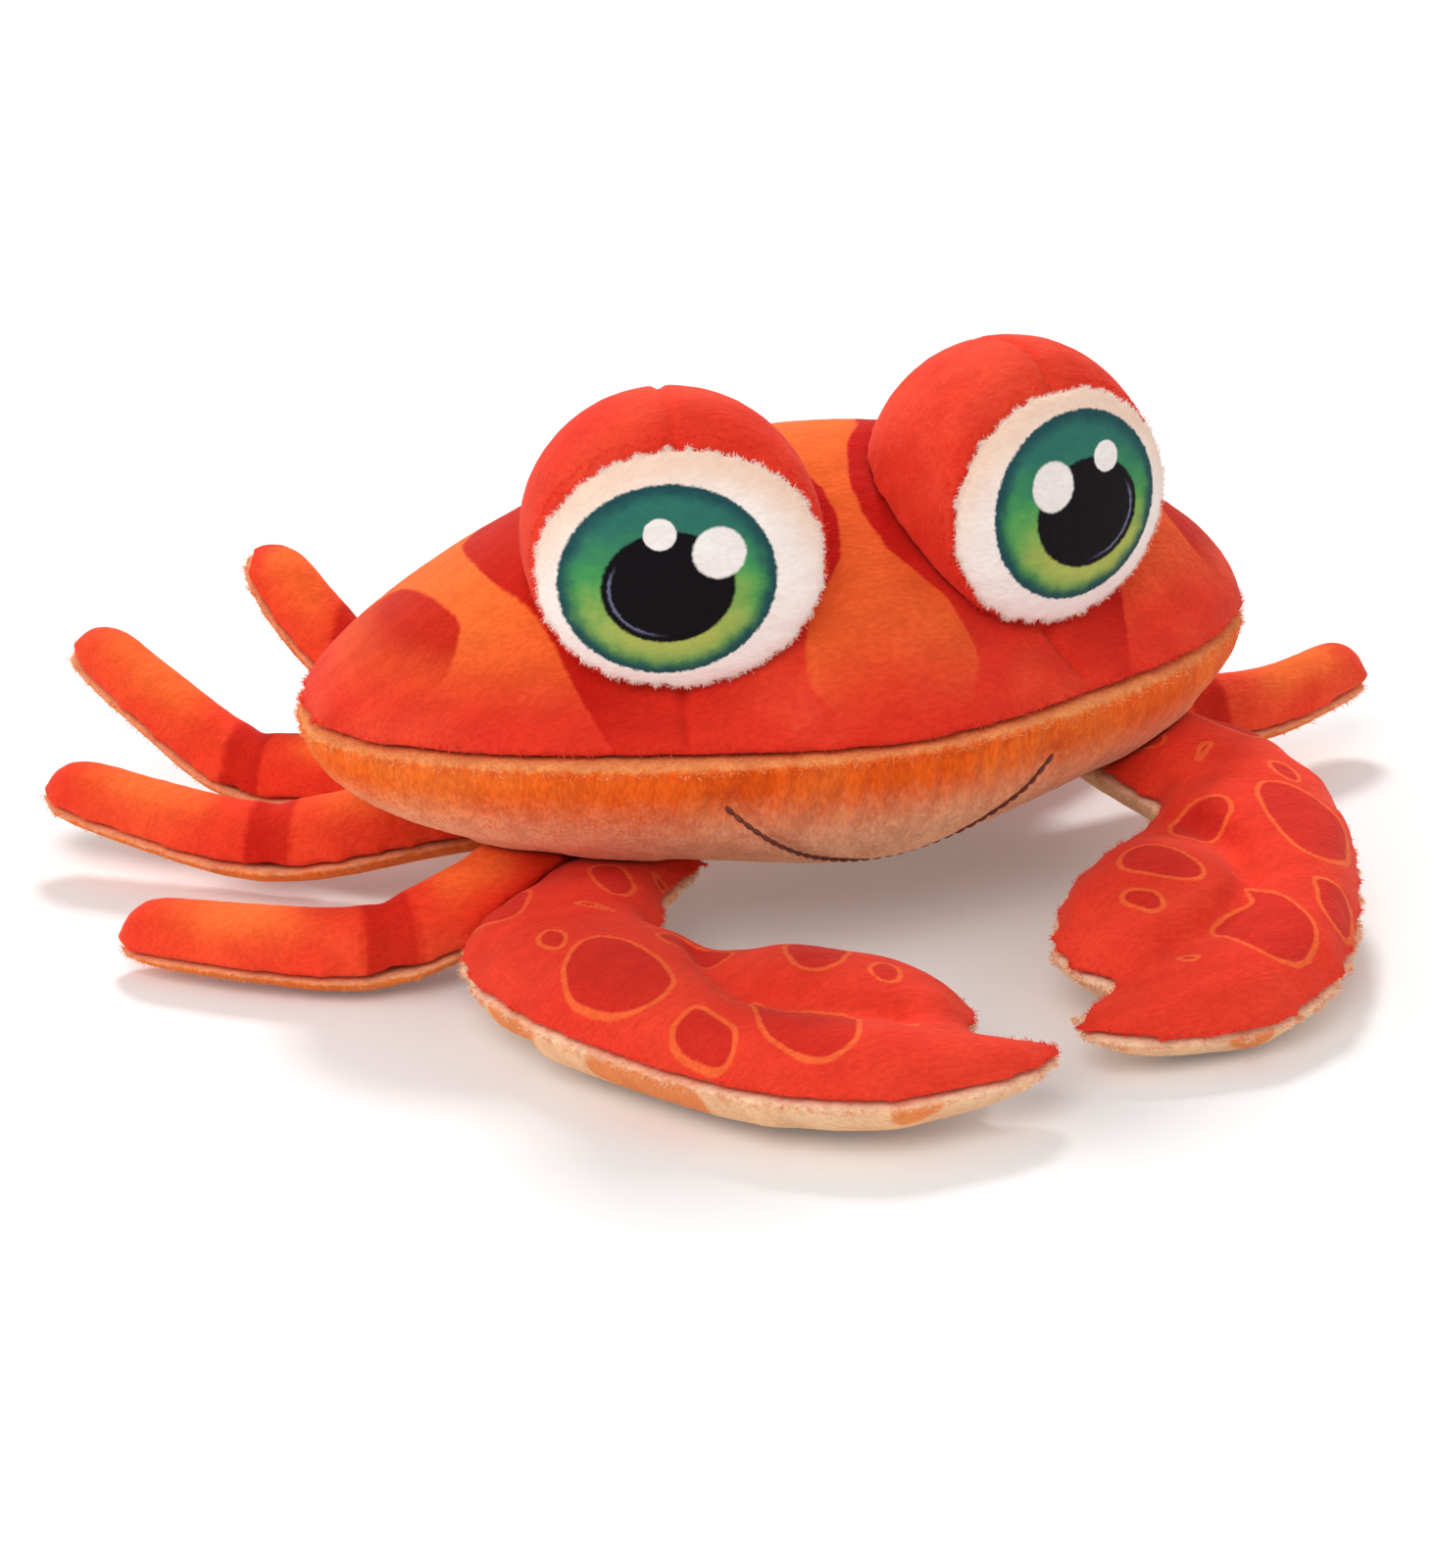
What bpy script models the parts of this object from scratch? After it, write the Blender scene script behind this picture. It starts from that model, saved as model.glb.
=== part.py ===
"""Plush crab: a sewn body on two curled claws and eight bent legs, with two bulging eyes.

Each node is the cloth of one side of a sewn piece with the filling behind it, so two nodes meet
at every seam that runs round a piece. The crab faces -Y, its right side is at -X, and it stands
on the floor at Z 0, centred in X and Y.
"""

import math

import bmesh
import bpy
from mathutils import Euler, Matrix, Vector
from mathutils.geometry import delaunay_2d_cdt

MM = 0.001
SEAM_GAP = 0.3 * MM

# Body: a dome of red cloth over a belly of orange cloth, widest at its two side points
BODY_WIDTH = 250 * MM
BODY_FRONT = 67 * MM
BODY_BACK = 88 * MM
FRONT_ROUNDNESS = 1.62
BACK_ROUNDNESS = 2.0
DOME_HEIGHT = 59 * MM
DOME_FULLNESS = 1.65
DOME_SOFTNESS = 0.8
HOLLOW_UNDER_EYES = 0.5
HOLLOW_DIRECTION = math.radians(42)
HOLLOW_SPREAD = math.radians(24)
LEFT_SIDE_FULLER = 0.25
LEFT_SIDE_SPREAD = math.radians(42)
BELLY_DEPTH = 41 * MM
BELLY_FULLNESS = 2.4
BELLY_SOFTNESS = 0.5
CHIN_FULLER = 1.4
CHIN_SPREAD = math.radians(34)
BELLY_CLEARANCE = 21 * MM

# Eyes: a lid of red cloth round a slightly domed white front
EYE_SPACING = 87 * MM
EYE_SET_BACK = 45 * MM
EYE_RISE = 10.5 * MM
EYE_WIDTH = 71 * MM
EYE_HEIGHT = 69 * MM
EYE_BACK_DEPTH = 34 * MM
FRONT_WIDTH = 69 * MM
FRONT_HEIGHT = 57 * MM
FRONT_FORWARD = 17 * MM
FRONT_DROP = 4.5 * MM
FRONT_DOME = 7 * MM
EYE_TURN_OUT = math.radians(15)
EYE_TILT_UP = math.radians(4)

# Mouth: one line of thread sewn on the belly
MOUTH_WIDTH = 84 * MM
MOUTH_CORNER_DROP = 12.5 * MM
MOUTH_DIP = 21.5 * MM
THREAD_WIDTH = 1.6 * MM

# Legs: four on each side, numbered from the front
LEG_WIDTH = 23 * MM
LEG_ROOT_WIDTH = 19 * MM
LEG_TOP_HEIGHT = 16 * MM
LEG_UNDER_HEIGHT = 7 * MM
LEG_SINK = 7 * MM
LEG_TIP_LENGTH = 13 * MM

# Claws: flat curled pieces that lie on the floor in front
CLAW_TOP_HEIGHT = 16 * MM
CLAW_UNDER_HEIGHT = 15 * MM
CLAW_FULLNESS = 0.4
CLAW_CREASE_DEPTH = 6 * MM
CLAW_CREASE_WIDTH = 7 * MM
LEFT_CLAW_TURN = math.radians(-4)
LEFT_CLAW_SLOPE = math.radians(10)
LEFT_CLAW_SHIFT = (22 * MM, 13.5 * MM)

# Path points of each leg beyond its root under the body, in millimetres from the root
RIGHT_LEGS = (
    ((-50, 9), ((-24, -7, -3), (-59, -13, -13), (-84, -1, -14), (-114, 26, -14))),
    ((-52, 32), ((-27, 6, -1), (-63, 25, -10), (-85, 47, -8), (-110, 74, -2))),
    ((-52, 55), ((-29, 18, -7), (-56, 46, -12), (-72, 69, 0), (-88, 95, 16))),
    ((-34, 72), ((-24, 15, 0), (-46, 27, 8), (-58, 39, 23), (-65, 51, 40))),
)
LEFT_LEGS = (
    ((58, 28), ((26, 1, 1), (62, 0, -2), (90, 4, -4), (128, 18, -1))),
    ((50, 50), ((28, 6, -1), (60, 22, -8), (80, 42, -6), (98, 68, 0))),
    ((46, 70), ((27, 14, -2), (54, 34, -4), (66, 56, 7), (80, 82, 22))),
    ((26, 84), ((22, 12, 0), (36, 22, 8), (44, 32, 24), (52, 44, 40))),
)

# Outline of the right claw seen from above, in millimetres, from its root round the outside
CLAW_ROOT = (-32, -4)
CLAW_OUTLINE = (
    (-34, 4),
    (-46, 6),
    (-62, 3),
    (-80, -6),
    (-96, -17),
    (-104, -34),
    (-103, -58),
    (-94, -85),
    (-81, -109),
    (-66, -126),
    (-48, -137),
    (-26, -139),
    (-8, -136),
    (3, -129),
    (0, -121),
    (-9, -117),
    (-13, -113),
    (-7, -107),
    (-6, -96),
    (-12, -84),
    (-22, -71),
    (-35, -60),
    (-50, -51),
    (-57, -44),
    (-52, -35),
    (-45, -22),
    (-36, -14),
    (-29, -9),
    (-27, -1),
)
CLAW_CREASE = ((-50, -64), (-58, -80), (-60, -95), (-46, -108), (-28, -116), (-12, -120))

ROUND_STEPS = 48
RING_STEPS = 9
LEG_ARC_STEPS = 8
LEG_LENGTH_STEPS = 12
CLAW_GRID = 7 * MM

UP = Vector((0, 0, 1))


def fabric(name, color, roughness=0.9):
    """A matt cloth of one colour."""
    material = bpy.data.materials.new(name)
    material.use_nodes = True
    shader = material.node_tree.nodes["Principled BSDF"]
    shader.inputs["Base Color"].default_value = (*color, 1)
    shader.inputs["Roughness"].default_value = roughness
    shader.inputs["Sheen Weight"].default_value = 0.4
    material.diffuse_color = (*color, 1)
    return material


def solid(name, bm, material=None):
    """The object of this mesh, with its faces turned outwards."""
    bmesh.ops.recalc_face_normals(bm, faces=bm.faces)
    mesh = bpy.data.meshes.new(name)
    bm.to_mesh(mesh)
    bm.free()
    if sum_volume(mesh) < 0:
        mesh.flip_normals()
    obj = bpy.data.objects.new(name, mesh)
    bpy.context.scene.collection.objects.link(obj)
    if material:
        mesh.materials.append(material)
    return obj


def sum_volume(mesh):
    """Six times the volume that the faces of this mesh enclose."""
    mesh.calc_loop_triangles()
    total = 0.0
    for triangle in mesh.loop_triangles:
        a, b, c = (mesh.vertices[i].co for i in triangle.vertices)
        total += a.dot(b.cross(c))
    return total


def cut(obj, cutter):
    """Takes the shape of the cutter out of the object."""
    modifier = obj.modifiers.new("clear of " + cutter.name, "BOOLEAN")
    modifier.operation = "DIFFERENCE"
    modifier.solver = "EXACT"
    modifier.object = cutter


def smooth_path(points, steps, closed=False):
    """Points along a smooth curve through all of these, with this many steps in each stretch."""
    points = [Vector(p) for p in points]
    count = len(points)
    found = []
    for i in range(count if closed else count - 1):
        if closed:
            a, b, c, d = (points[(i + k) % count] for k in (-1, 0, 1, 2))
        else:
            a, b = points[max(i - 1, 0)], points[i]
            c, d = points[i + 1], points[min(i + 2, count - 1)]
        for k in range(steps):
            t = k / steps
            found.append(
                0.5
                * (
                    2 * b
                    + (c - a) * t
                    + (2 * a - 5 * b + 4 * c - d) * t**2
                    + (3 * b - a - 3 * c + d) * t**3
                )
            )
    if not closed:
        found.append(points[-1].copy())
    return found


def evenly(path, steps):
    """This many steps of equal length along the path."""
    lengths = [0.0]
    for a, b in zip(path, path[1:]):
        lengths.append(lengths[-1] + (b - a).length)
    found, i = [], 0
    for k in range(steps + 1):
        wanted = lengths[-1] * k / steps
        while i < len(path) - 2 and lengths[i + 1] < wanted:
            i += 1
        t = (wanted - lengths[i]) / max(lengths[i + 1] - lengths[i], 1e-9)
        found.append(path[i].lerp(path[i + 1], min(t, 1)))
    return found


# Body


def seam_height():
    """Height of the seam round the body."""
    return BELLY_CLEARANCE + BELLY_DEPTH


def body_reach(angle):
    """Distance from the middle of the body to its seam in this direction."""
    roundness = FRONT_ROUNDNESS if math.sin(angle) < 0 else BACK_ROUNDNESS
    depth = BODY_FRONT if math.sin(angle) < 0 else BODY_BACK
    across = abs(math.cos(angle)) / (BODY_WIDTH / 2)
    along = abs(math.sin(angle)) / depth
    return (across**roundness + along**roundness) ** (-1 / roundness)


def body_middle():
    """The body's middle, on the line that joins its two side points."""
    return Vector((0, 8 * MM, 0))


def from_middle(x, y):
    """How far this point is on the way from the body's middle to its seam, and its direction."""
    way = Vector((x, y, 0)) - body_middle()
    angle = math.atan2(way.y, way.x)
    return way.length / body_reach(angle), angle


def dome_share(fraction, angle):
    """Share of the dome's height this far out to the seam: less under the eyes, more at the left."""
    off = (abs(angle + math.pi / 2) - math.pi / 2 + HOLLOW_DIRECTION) / HOLLOW_SPREAD
    softness = DOME_SOFTNESS + HOLLOW_UNDER_EYES * math.exp(-off * off)
    softness -= LEFT_SIDE_FULLER * math.exp(-((angle / LEFT_SIDE_SPREAD) ** 2))
    return max(0.0, 1 - min(fraction, 1) ** DOME_FULLNESS) ** softness


def belly_fullness(angle):
    """How full the belly is in this direction: more under the mouth."""
    return BELLY_FULLNESS + CHIN_FULLER * math.exp(-(((angle + math.pi / 2) / CHIN_SPREAD) ** 2))


def belly_share(fraction, angle):
    """Share of the belly's depth this far out to the seam."""
    return max(0.0, 1 - min(fraction, 1) ** belly_fullness(angle)) ** BELLY_SOFTNESS


def dome_z(x, y):
    """Height of the top of the body above the floor."""
    return seam_height() + DOME_HEIGHT * dome_share(*from_middle(x, y))


def belly_z(x, y):
    """Height of the underside of the body above the floor."""
    return seam_height() - BELLY_DEPTH * belly_share(*from_middle(x, y))


def body_half(name, height, share, side, material=None, grow=0.0):
    """The dome (side 1) or the belly (side -1), grown outwards by grow for a cutter."""
    bm = bmesh.new()
    base = seam_height() + side * SEAM_GAP / 2
    foot_height = base - side * (SEAM_GAP + grow) if grow else base
    rings = []
    for j in range(-1 if grow else 0, RING_STEPS):
        angle_in = math.pi / 2 * (max(j, 0) / RING_STEPS) ** 1.15
        level = foot_height if j < 0 else base
        fraction = math.cos(angle_in)
        ring = []
        for i in range(ROUND_STEPS):
            angle = math.pi * (2 * i / ROUND_STEPS - 1)
            reach = (body_reach(angle) + grow) * fraction
            x, y = reach * math.cos(angle), reach * math.sin(angle)
            rise = (height + grow) * share(fraction, angle)
            middle = body_middle()
            ring.append(
                bm.verts.new((middle.x + x, middle.y + y, level + side * rise))
            )
        rings.append(ring)
    top = bm.verts.new(body_middle() + UP * (base + side * (height + grow)))
    foot = bm.verts.new(body_middle() + UP * foot_height)
    for lower, upper in zip(rings, rings[1:]):
        for i in range(ROUND_STEPS):
            k = (i + 1) % ROUND_STEPS
            bm.faces.new((lower[i], lower[k], upper[k], upper[i]))
    for i in range(ROUND_STEPS):
        k = (i + 1) % ROUND_STEPS
        bm.faces.new((rings[-1][i], rings[-1][k], top))
        bm.faces.new((rings[0][k], rings[0][i], foot))
    return solid(name, bm, material)


def make_body(red, orange):
    """The two sides of the body, and a cutter a seam gap larger than both."""
    body_half("body_top", DOME_HEIGHT, dome_share, 1, red)
    body_half("body_belly", BELLY_DEPTH, belly_share, -1, orange)
    cutters = []
    for name, height, share, side in (
        ("dome_clearance", DOME_HEIGHT, dome_share, 1),
        ("belly_clearance", BELLY_DEPTH, belly_share, -1),
    ):
        cutter = body_half(name, height, share, side, grow=SEAM_GAP)
        cutter.hide_render = True
        cutter.display_type = "WIRE"
        cutters.append(cutter)
    return cutters


def make_mouth(thread):
    """A thread from one corner of the mouth to the other, lying on the belly."""
    half = MOUTH_WIDTH / 2
    path = []
    steps = 32
    for i in range(steps + 1):
        across = -half + MOUTH_WIDTH * i / steps
        drop = MOUTH_CORNER_DROP + MOUTH_DIP * (1 - (across / half) ** 2)
        depth = min(drop / BELLY_DEPTH, 0.995)
        angle = -math.pi / 2
        for _ in range(12):
            reach = body_reach(angle) * (1 - depth**2) ** (1 / belly_fullness(angle))
            angle = -math.acos(max(-1, min(1, across / reach)))
        x, y = reach * math.cos(angle), reach * math.sin(angle)
        at = Vector((x, body_middle().y + y, seam_height() - drop))
        out = Vector((x * 0.3, y, -0.6 * (drop + 8 * MM))).normalized()
        path.append(at + out * (THREAD_WIDTH * 0.5 + SEAM_GAP * 3))
    bm = bmesh.new()
    rings = []
    sides = 8
    for i, at in enumerate(path):
        along = (path[min(i + 1, steps)] - path[max(i - 1, 0)]).normalized()
        across = along.cross(UP).normalized()
        lift = across.cross(along)
        rings.append(
            [
                bm.verts.new(
                    at
                    + THREAD_WIDTH
                    / 2
                    * (
                        across * math.cos(2 * math.pi * k / sides)
                        + lift * math.sin(2 * math.pi * k / sides)
                    )
                )
                for k in range(sides)
            ]
        )
    for a, b in zip(rings, rings[1:]):
        for k in range(sides):
            j = (k + 1) % sides
            bm.faces.new((a[k], a[j], b[j], b[k]))
    bm.faces.new(rings[0])
    bm.faces.new(rings[-1])
    return solid("mouth_thread", bm, thread)


# Eyes


def eye_frame(side):
    """Where an eye sits and how it is turned: Y of this frame points out of its front."""
    x = side * EYE_SPACING / 2
    y = body_middle().y - BODY_FRONT + EYE_SET_BACK - 2 * MM
    centre = Vector((x, y, dome_z(x, y) + EYE_RISE))
    turn = Euler((EYE_TILT_UP, 0, math.pi + side * EYE_TURN_OUT), "XYZ")
    return Matrix.Translation(centre) @ turn.to_matrix().to_4x4()


def eye_ring(bm, frame, forward, width, height, drop):
    """A ring of an eye, across its frame at this distance forward."""
    ring = []
    for i in range(ROUND_STEPS):
        angle = 2 * math.pi * i / ROUND_STEPS
        ring.append(
            bm.verts.new(
                frame
                @ Vector(
                    (
                        width / 2 * math.cos(angle),
                        forward,
                        height / 2 * math.sin(angle) - drop,
                    )
                )
            )
        )
    return ring


def closed_rings(bm, rings, first, last):
    """Joins the rings into one body, with a point at each end."""
    for a, b in zip(rings, rings[1:]):
        for i in range(len(a)):
            k = (i + 1) % len(a)
            bm.faces.new((a[i], a[k], b[k], b[i]))
    for i in range(len(rings[0])):
        k = (i + 1) % len(rings[0])
        bm.faces.new((rings[0][k], rings[0][i], first))
        bm.faces.new((rings[-1][i], rings[-1][k], last))


def make_eye(name, side, cutters, red, white):
    """One eye: the lid that goes round it, and its front."""
    frame = eye_frame(side)
    bm = bmesh.new()
    rings = []
    for j in range(1, 7):
        angle = math.pi / 2 * j / 6
        rings.append(
            eye_ring(
                bm,
                frame,
                -EYE_BACK_DEPTH * math.cos(angle),
                EYE_WIDTH * math.sin(angle),
                EYE_HEIGHT * math.sin(angle),
                0,
            )
        )
    for t in (0.35, 0.65, 0.86, 1.0):
        swell = math.sqrt(1 - t * t)
        width = FRONT_WIDTH + (EYE_WIDTH - FRONT_WIDTH) * swell
        height = FRONT_HEIGHT + (EYE_HEIGHT - FRONT_HEIGHT) * swell
        forward = FRONT_FORWARD * t - (SEAM_GAP / 2 if t == 1.0 else 0)
        rings.append(
            eye_ring(bm, frame, forward, width, height, FRONT_DROP * (1 - swell))
        )
    back = bm.verts.new(frame @ Vector((0, -EYE_BACK_DEPTH, 0)))
    middle = bm.verts.new(
        frame @ Vector((0, FRONT_FORWARD - SEAM_GAP / 2, -FRONT_DROP))
    )
    closed_rings(bm, rings, back, middle)
    lid = solid(f"{name}_lid", bm, red)

    bm = bmesh.new()
    rings = []
    for j in range(6):
        angle = math.pi / 2 * j / 6
        rings.append(
            eye_ring(
                bm,
                frame,
                FRONT_FORWARD + SEAM_GAP / 2 + FRONT_DOME * math.sin(angle),
                FRONT_WIDTH * math.cos(angle),
                FRONT_HEIGHT * math.cos(angle),
                FRONT_DROP,
            )
        )
    base = bm.verts.new(frame @ Vector((0, FRONT_FORWARD + SEAM_GAP / 2, -FRONT_DROP)))
    top = bm.verts.new(
        frame
        @ Vector((0, FRONT_FORWARD + SEAM_GAP / 2 + FRONT_DOME, -FRONT_DROP))
    )
    closed_rings(bm, rings, base, top)
    front = solid(f"{name}_front", bm, white)
    for cutter in cutters:
        cut(lid, cutter)
        cut(front, cutter)


# Legs


def tipped(path):
    """Places along a leg, closer together in its round tip: point, direction, share, rounding."""
    found = []
    last = len(path) - 1
    tip = LEG_TIP_LENGTH / sum((b - a).length for a, b in zip(path, path[1:]))
    shares = [(1 - tip) * i / last for i in range(last + 1)]
    shares += [1 - tip + tip * math.sin(math.radians(a)) for a in (25, 48, 66, 80)]
    for share in shares:
        i = min(int(share * last), last - 1)
        at = path[i].lerp(path[i + 1], share * last - i)
        along = (path[min(i + 2, last)] - path[max(i - 1, 0)]).normalized()
        past = max(0.0, (share - 1 + tip) / tip)
        found.append((at, along, share, math.sqrt(max(0.0, 1 - past**2))))
    return found


def leg_half(name, path, side, material):
    """The top (side 1) or the underside (side -1) of a leg along this path."""
    height = LEG_TOP_HEIGHT if side > 0 else LEG_UNDER_HEIGHT
    bm = bmesh.new()
    rings = []
    for at, along, t, rounding in tipped(path):
        across = along.cross(UP).normalized()
        lift = across.cross(along)
        taper = 1 - 0.2 * max(0.0, (t - 0.4) / 0.6)
        width = LEG_ROOT_WIDTH + (LEG_WIDTH - LEG_ROOT_WIDTH) * min(1, 2.5 * t)
        half = width / 2 * rounding * taper
        rise = height * rounding * taper
        rings.append(
            [
                bm.verts.new(
                    at
                    + across * half * math.cos(math.pi * k / LEG_ARC_STEPS)
                    + lift
                    * side
                    * (rise * math.sin(math.pi * k / LEG_ARC_STEPS) + SEAM_GAP / 2)
                )
                for k in range(LEG_ARC_STEPS + 1)
            ]
        )
    for a, b in zip(rings, rings[1:]):
        for k in range(LEG_ARC_STEPS):
            bm.faces.new((a[k], a[k + 1], b[k + 1], b[k]))
        bm.faces.new((a[-1], a[0], b[0], b[-1]))
    bm.faces.new(rings[0])
    bm.faces.new(rings[-1])
    bmesh.ops.triangulate(bm, faces=bm.faces)
    return solid(name, bm, material)


def make_leg(name, root, points, cutters, red, orange):
    """One leg from under the body to its tip."""
    x, y = root[0] * MM, root[1] * MM
    start = Vector((x, y, belly_z(x, y) - LEG_SINK + LEG_UNDER_HEIGHT / 2))
    path = [start] + [start + Vector(p) * MM for p in points]
    lowest = LEG_UNDER_HEIGHT + SEAM_GAP
    path = [Vector((p.x, p.y, max(p.z, lowest))) for p in path]
    path = evenly(smooth_path(path, 8), LEG_LENGTH_STEPS)
    for part, side, material in (("top", 1, red), ("under", -1, orange)):
        half = leg_half(f"{name}_{part}", path, side, material)
        for cutter in cutters:
            cut(half, cutter)


# Claws


def claw_place(side, net):
    """The move from the drawn outline to where this claw lies, with its lowest cloth at Z 0."""
    if side < 0:
        return Matrix.Identity(4)
    mirror = Matrix.Scale(-1, 4, Vector((1, 0, 0)))
    pivot = Vector((-CLAW_ROOT[0] * MM, CLAW_ROOT[1] * MM, 0))
    place = (
        Matrix.Translation(pivot + Vector((*LEFT_CLAW_SHIFT, 0)))
        @ Matrix.Rotation(LEFT_CLAW_SLOPE, 4, "X")
        @ Matrix.Rotation(LEFT_CLAW_TURN, 4, "Z")
        @ Matrix.Translation(-pivot)
        @ mirror
    )
    lowest = min(
        (place @ Vector((*point, level - SEAM_GAP / 2 - under))).z
        for point, level, _, under in claw_levels(net)
    )
    return Matrix.Translation((0, 0, -lowest)) @ place


def nearest(point, path, closed):
    """Distance from this point to a path of points."""
    best = 1e9
    pairs = list(zip(path, path[1:] + (path[:1] if closed else [])))
    for a, b in pairs:
        line = b - a
        t = max(0.0, min(1.0, (point - a).dot(line) / max(line.dot(line), 1e-12)))
        best = min(best, (point - (a + line * t)).length)
    return best


def inside(point, outline):
    """Whether this point is inside the outline."""
    odd = False
    for a, b in zip(outline, outline[1:] + outline[:1]):
        if (a.y > point.y) != (b.y > point.y):
            if point.x < a.x + (b.x - a.x) * (point.y - a.y) / (b.y - a.y):
                odd = not odd
    return odd


def claw_net():
    """The outline of the claw and a net of points inside it: points, triangles, outline length."""
    outline = [Vector((p.x, p.y)) * MM for p in smooth_path(
        [(x, y, 0) for x, y in CLAW_OUTLINE], 4, closed=True
    )]
    crease = [Vector((p.x, p.y)) * MM for p in smooth_path(
        [(x, y, 0) for x, y in CLAW_CREASE], 3
    )]
    left = min(p.x for p in outline)
    right = max(p.x for p in outline)
    low = min(p.y for p in outline)
    high = max(p.y for p in outline)
    inner = []
    rows = int((high - low) / (CLAW_GRID * 0.866)) + 1
    for j in range(rows):
        y = low + j * CLAW_GRID * 0.866
        for i in range(int((right - left) / CLAW_GRID) + 2):
            point = Vector((left + (i - 0.5 * (j % 2)) * CLAW_GRID, y))
            if inside(point, outline) and nearest(point, outline, True) > 0.45 * CLAW_GRID:
                inner.append(point)
    count = len(outline)
    edges = [(i, (i + 1) % count) for i in range(count)]
    points, _, triangles, _, _, _ = delaunay_2d_cdt(outline + inner, edges, [], 1, 1e-7)
    return points, triangles, outline, crease


def swelling(triangles, count, edge):
    """How full the filled cloth stands at each point, from 0 on the outline to 1."""
    beside = [set() for _ in range(count)]
    for a, b, c in triangles:
        beside[a] |= {b, c}
        beside[b] |= {a, c}
        beside[c] |= {a, b}
    level = [0.0] * count
    for _ in range(400):
        for i in range(edge, count):
            level[i] = 1 + sum(level[k] for k in beside[i]) / len(beside[i])
    fullest = max(level)
    return [(v / fullest) ** CLAW_FULLNESS for v in level]


def grown(outline, grow):
    """The outline moved outwards by grow."""
    count = len(outline)
    turn = sum(
        outline[i - 1].x * outline[i].y - outline[i].x * outline[i - 1].y
        for i in range(count)
    )
    found = []
    for i in range(count):
        along = (outline[(i + 1) % count] - outline[i - 1]).normalized()
        out = Vector((along.y, -along.x)) * (1 if turn > 0 else -1)
        found.append(outline[i] + out * grow)
    return found


def claw_levels(net, grow=0.0):
    """Points of the claw seen from above, with the seam's height and both rises at each."""
    points, triangles, outline, crease = net
    full = swelling(triangles, len(points), len(outline))
    root = Vector((CLAW_ROOT[0] * MM, CLAW_ROOT[1] * MM))
    root_rise = belly_z(root.x, root.y) - CLAW_UNDER_HEIGHT - 0.15 * CLAW_TOP_HEIGHT
    edge = grown(outline, grow)
    found = []
    for index, point in enumerate(points):
        near_root = max(0.0, 1 - (point - root).length / (60 * MM))
        level = CLAW_UNDER_HEIGHT + SEAM_GAP / 2 + max(0.0, root_rise) * near_root
        if index < len(outline):
            found.append((edge[index], level, 0.0, 0.0))
            continue
        away = nearest(point, crease, False) / CLAW_CREASE_WIDTH
        top = CLAW_TOP_HEIGHT - CLAW_CREASE_DEPTH * math.exp(-away * away)
        share = full[index]
        found.append((point, level, top * share + grow, CLAW_UNDER_HEIGHT * share + grow))
    return found


def claw_half(name, net, side, place, cutters, material):
    """The top (side 1) or the underside (side -1) of a claw."""
    edge, cloth, flat = len(net[2]), [], []
    bm = bmesh.new()
    for index, (point, level, top, under) in enumerate(claw_levels(net)):
        base = level + side * SEAM_GAP / 2
        z = base + (top if side > 0 else -under)
        cloth.append(bm.verts.new(place @ Vector((*point, z))))
        flat.append(
            cloth[-1]
            if index < edge
            else bm.verts.new(place @ Vector((*point, base)))
        )
    for a, b, c in net[1]:
        if max(a, b, c) >= edge:
            bm.faces.new((cloth[a], cloth[b], cloth[c]))
            bm.faces.new((flat[c], flat[b], flat[a]))
    half = solid(name, bm, material)
    for cutter in cutters:
        cut(half, cutter)


def claw_clearance(name, net, place):
    """A cutter a seam gap larger than the whole claw, for the legs that lie against it."""
    edge, upper, lower = len(net[2]), [], []
    bm = bmesh.new()
    for index, (point, level, top, under) in enumerate(claw_levels(net, SEAM_GAP * 1.3)):
        upper.append(bm.verts.new(place @ Vector((*point, level + SEAM_GAP / 2 + top))))
        lower.append(
            bm.verts.new(place @ Vector((*point, level - SEAM_GAP / 2 - under)))
        )
    for a, b, c in net[1]:
        bm.faces.new((upper[a], upper[b], upper[c]))
        bm.faces.new((lower[c], lower[b], lower[a]))
    for i in range(edge):
        k = (i + 1) % edge
        bm.faces.new((upper[i], upper[k], lower[k], lower[i]))
    cutter = solid(name, bm)
    cutter.hide_render = True
    cutter.display_type = "WIRE"
    return cutter


def place_on_floor():
    """Moves the whole crab so that it is centred in X and Y and stands on the floor."""
    root = bpy.data.objects.new("crab", None)
    bpy.context.scene.collection.objects.link(root)
    low, high = Vector((1e9,) * 3), Vector((-1e9,) * 3)
    graph = bpy.context.evaluated_depsgraph_get()
    for obj in bpy.context.scene.objects:
        if obj.type != "MESH":
            continue
        obj.parent = root
        if obj.hide_render:
            continue
        for vertex in obj.evaluated_get(graph).to_mesh().vertices:
            for axis in range(3):
                low[axis] = min(low[axis], vertex.co[axis])
                high[axis] = max(high[axis], vertex.co[axis])
    root.location = (-(low.x + high.x) / 2, -(low.y + high.y) / 2, -low.z)


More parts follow.
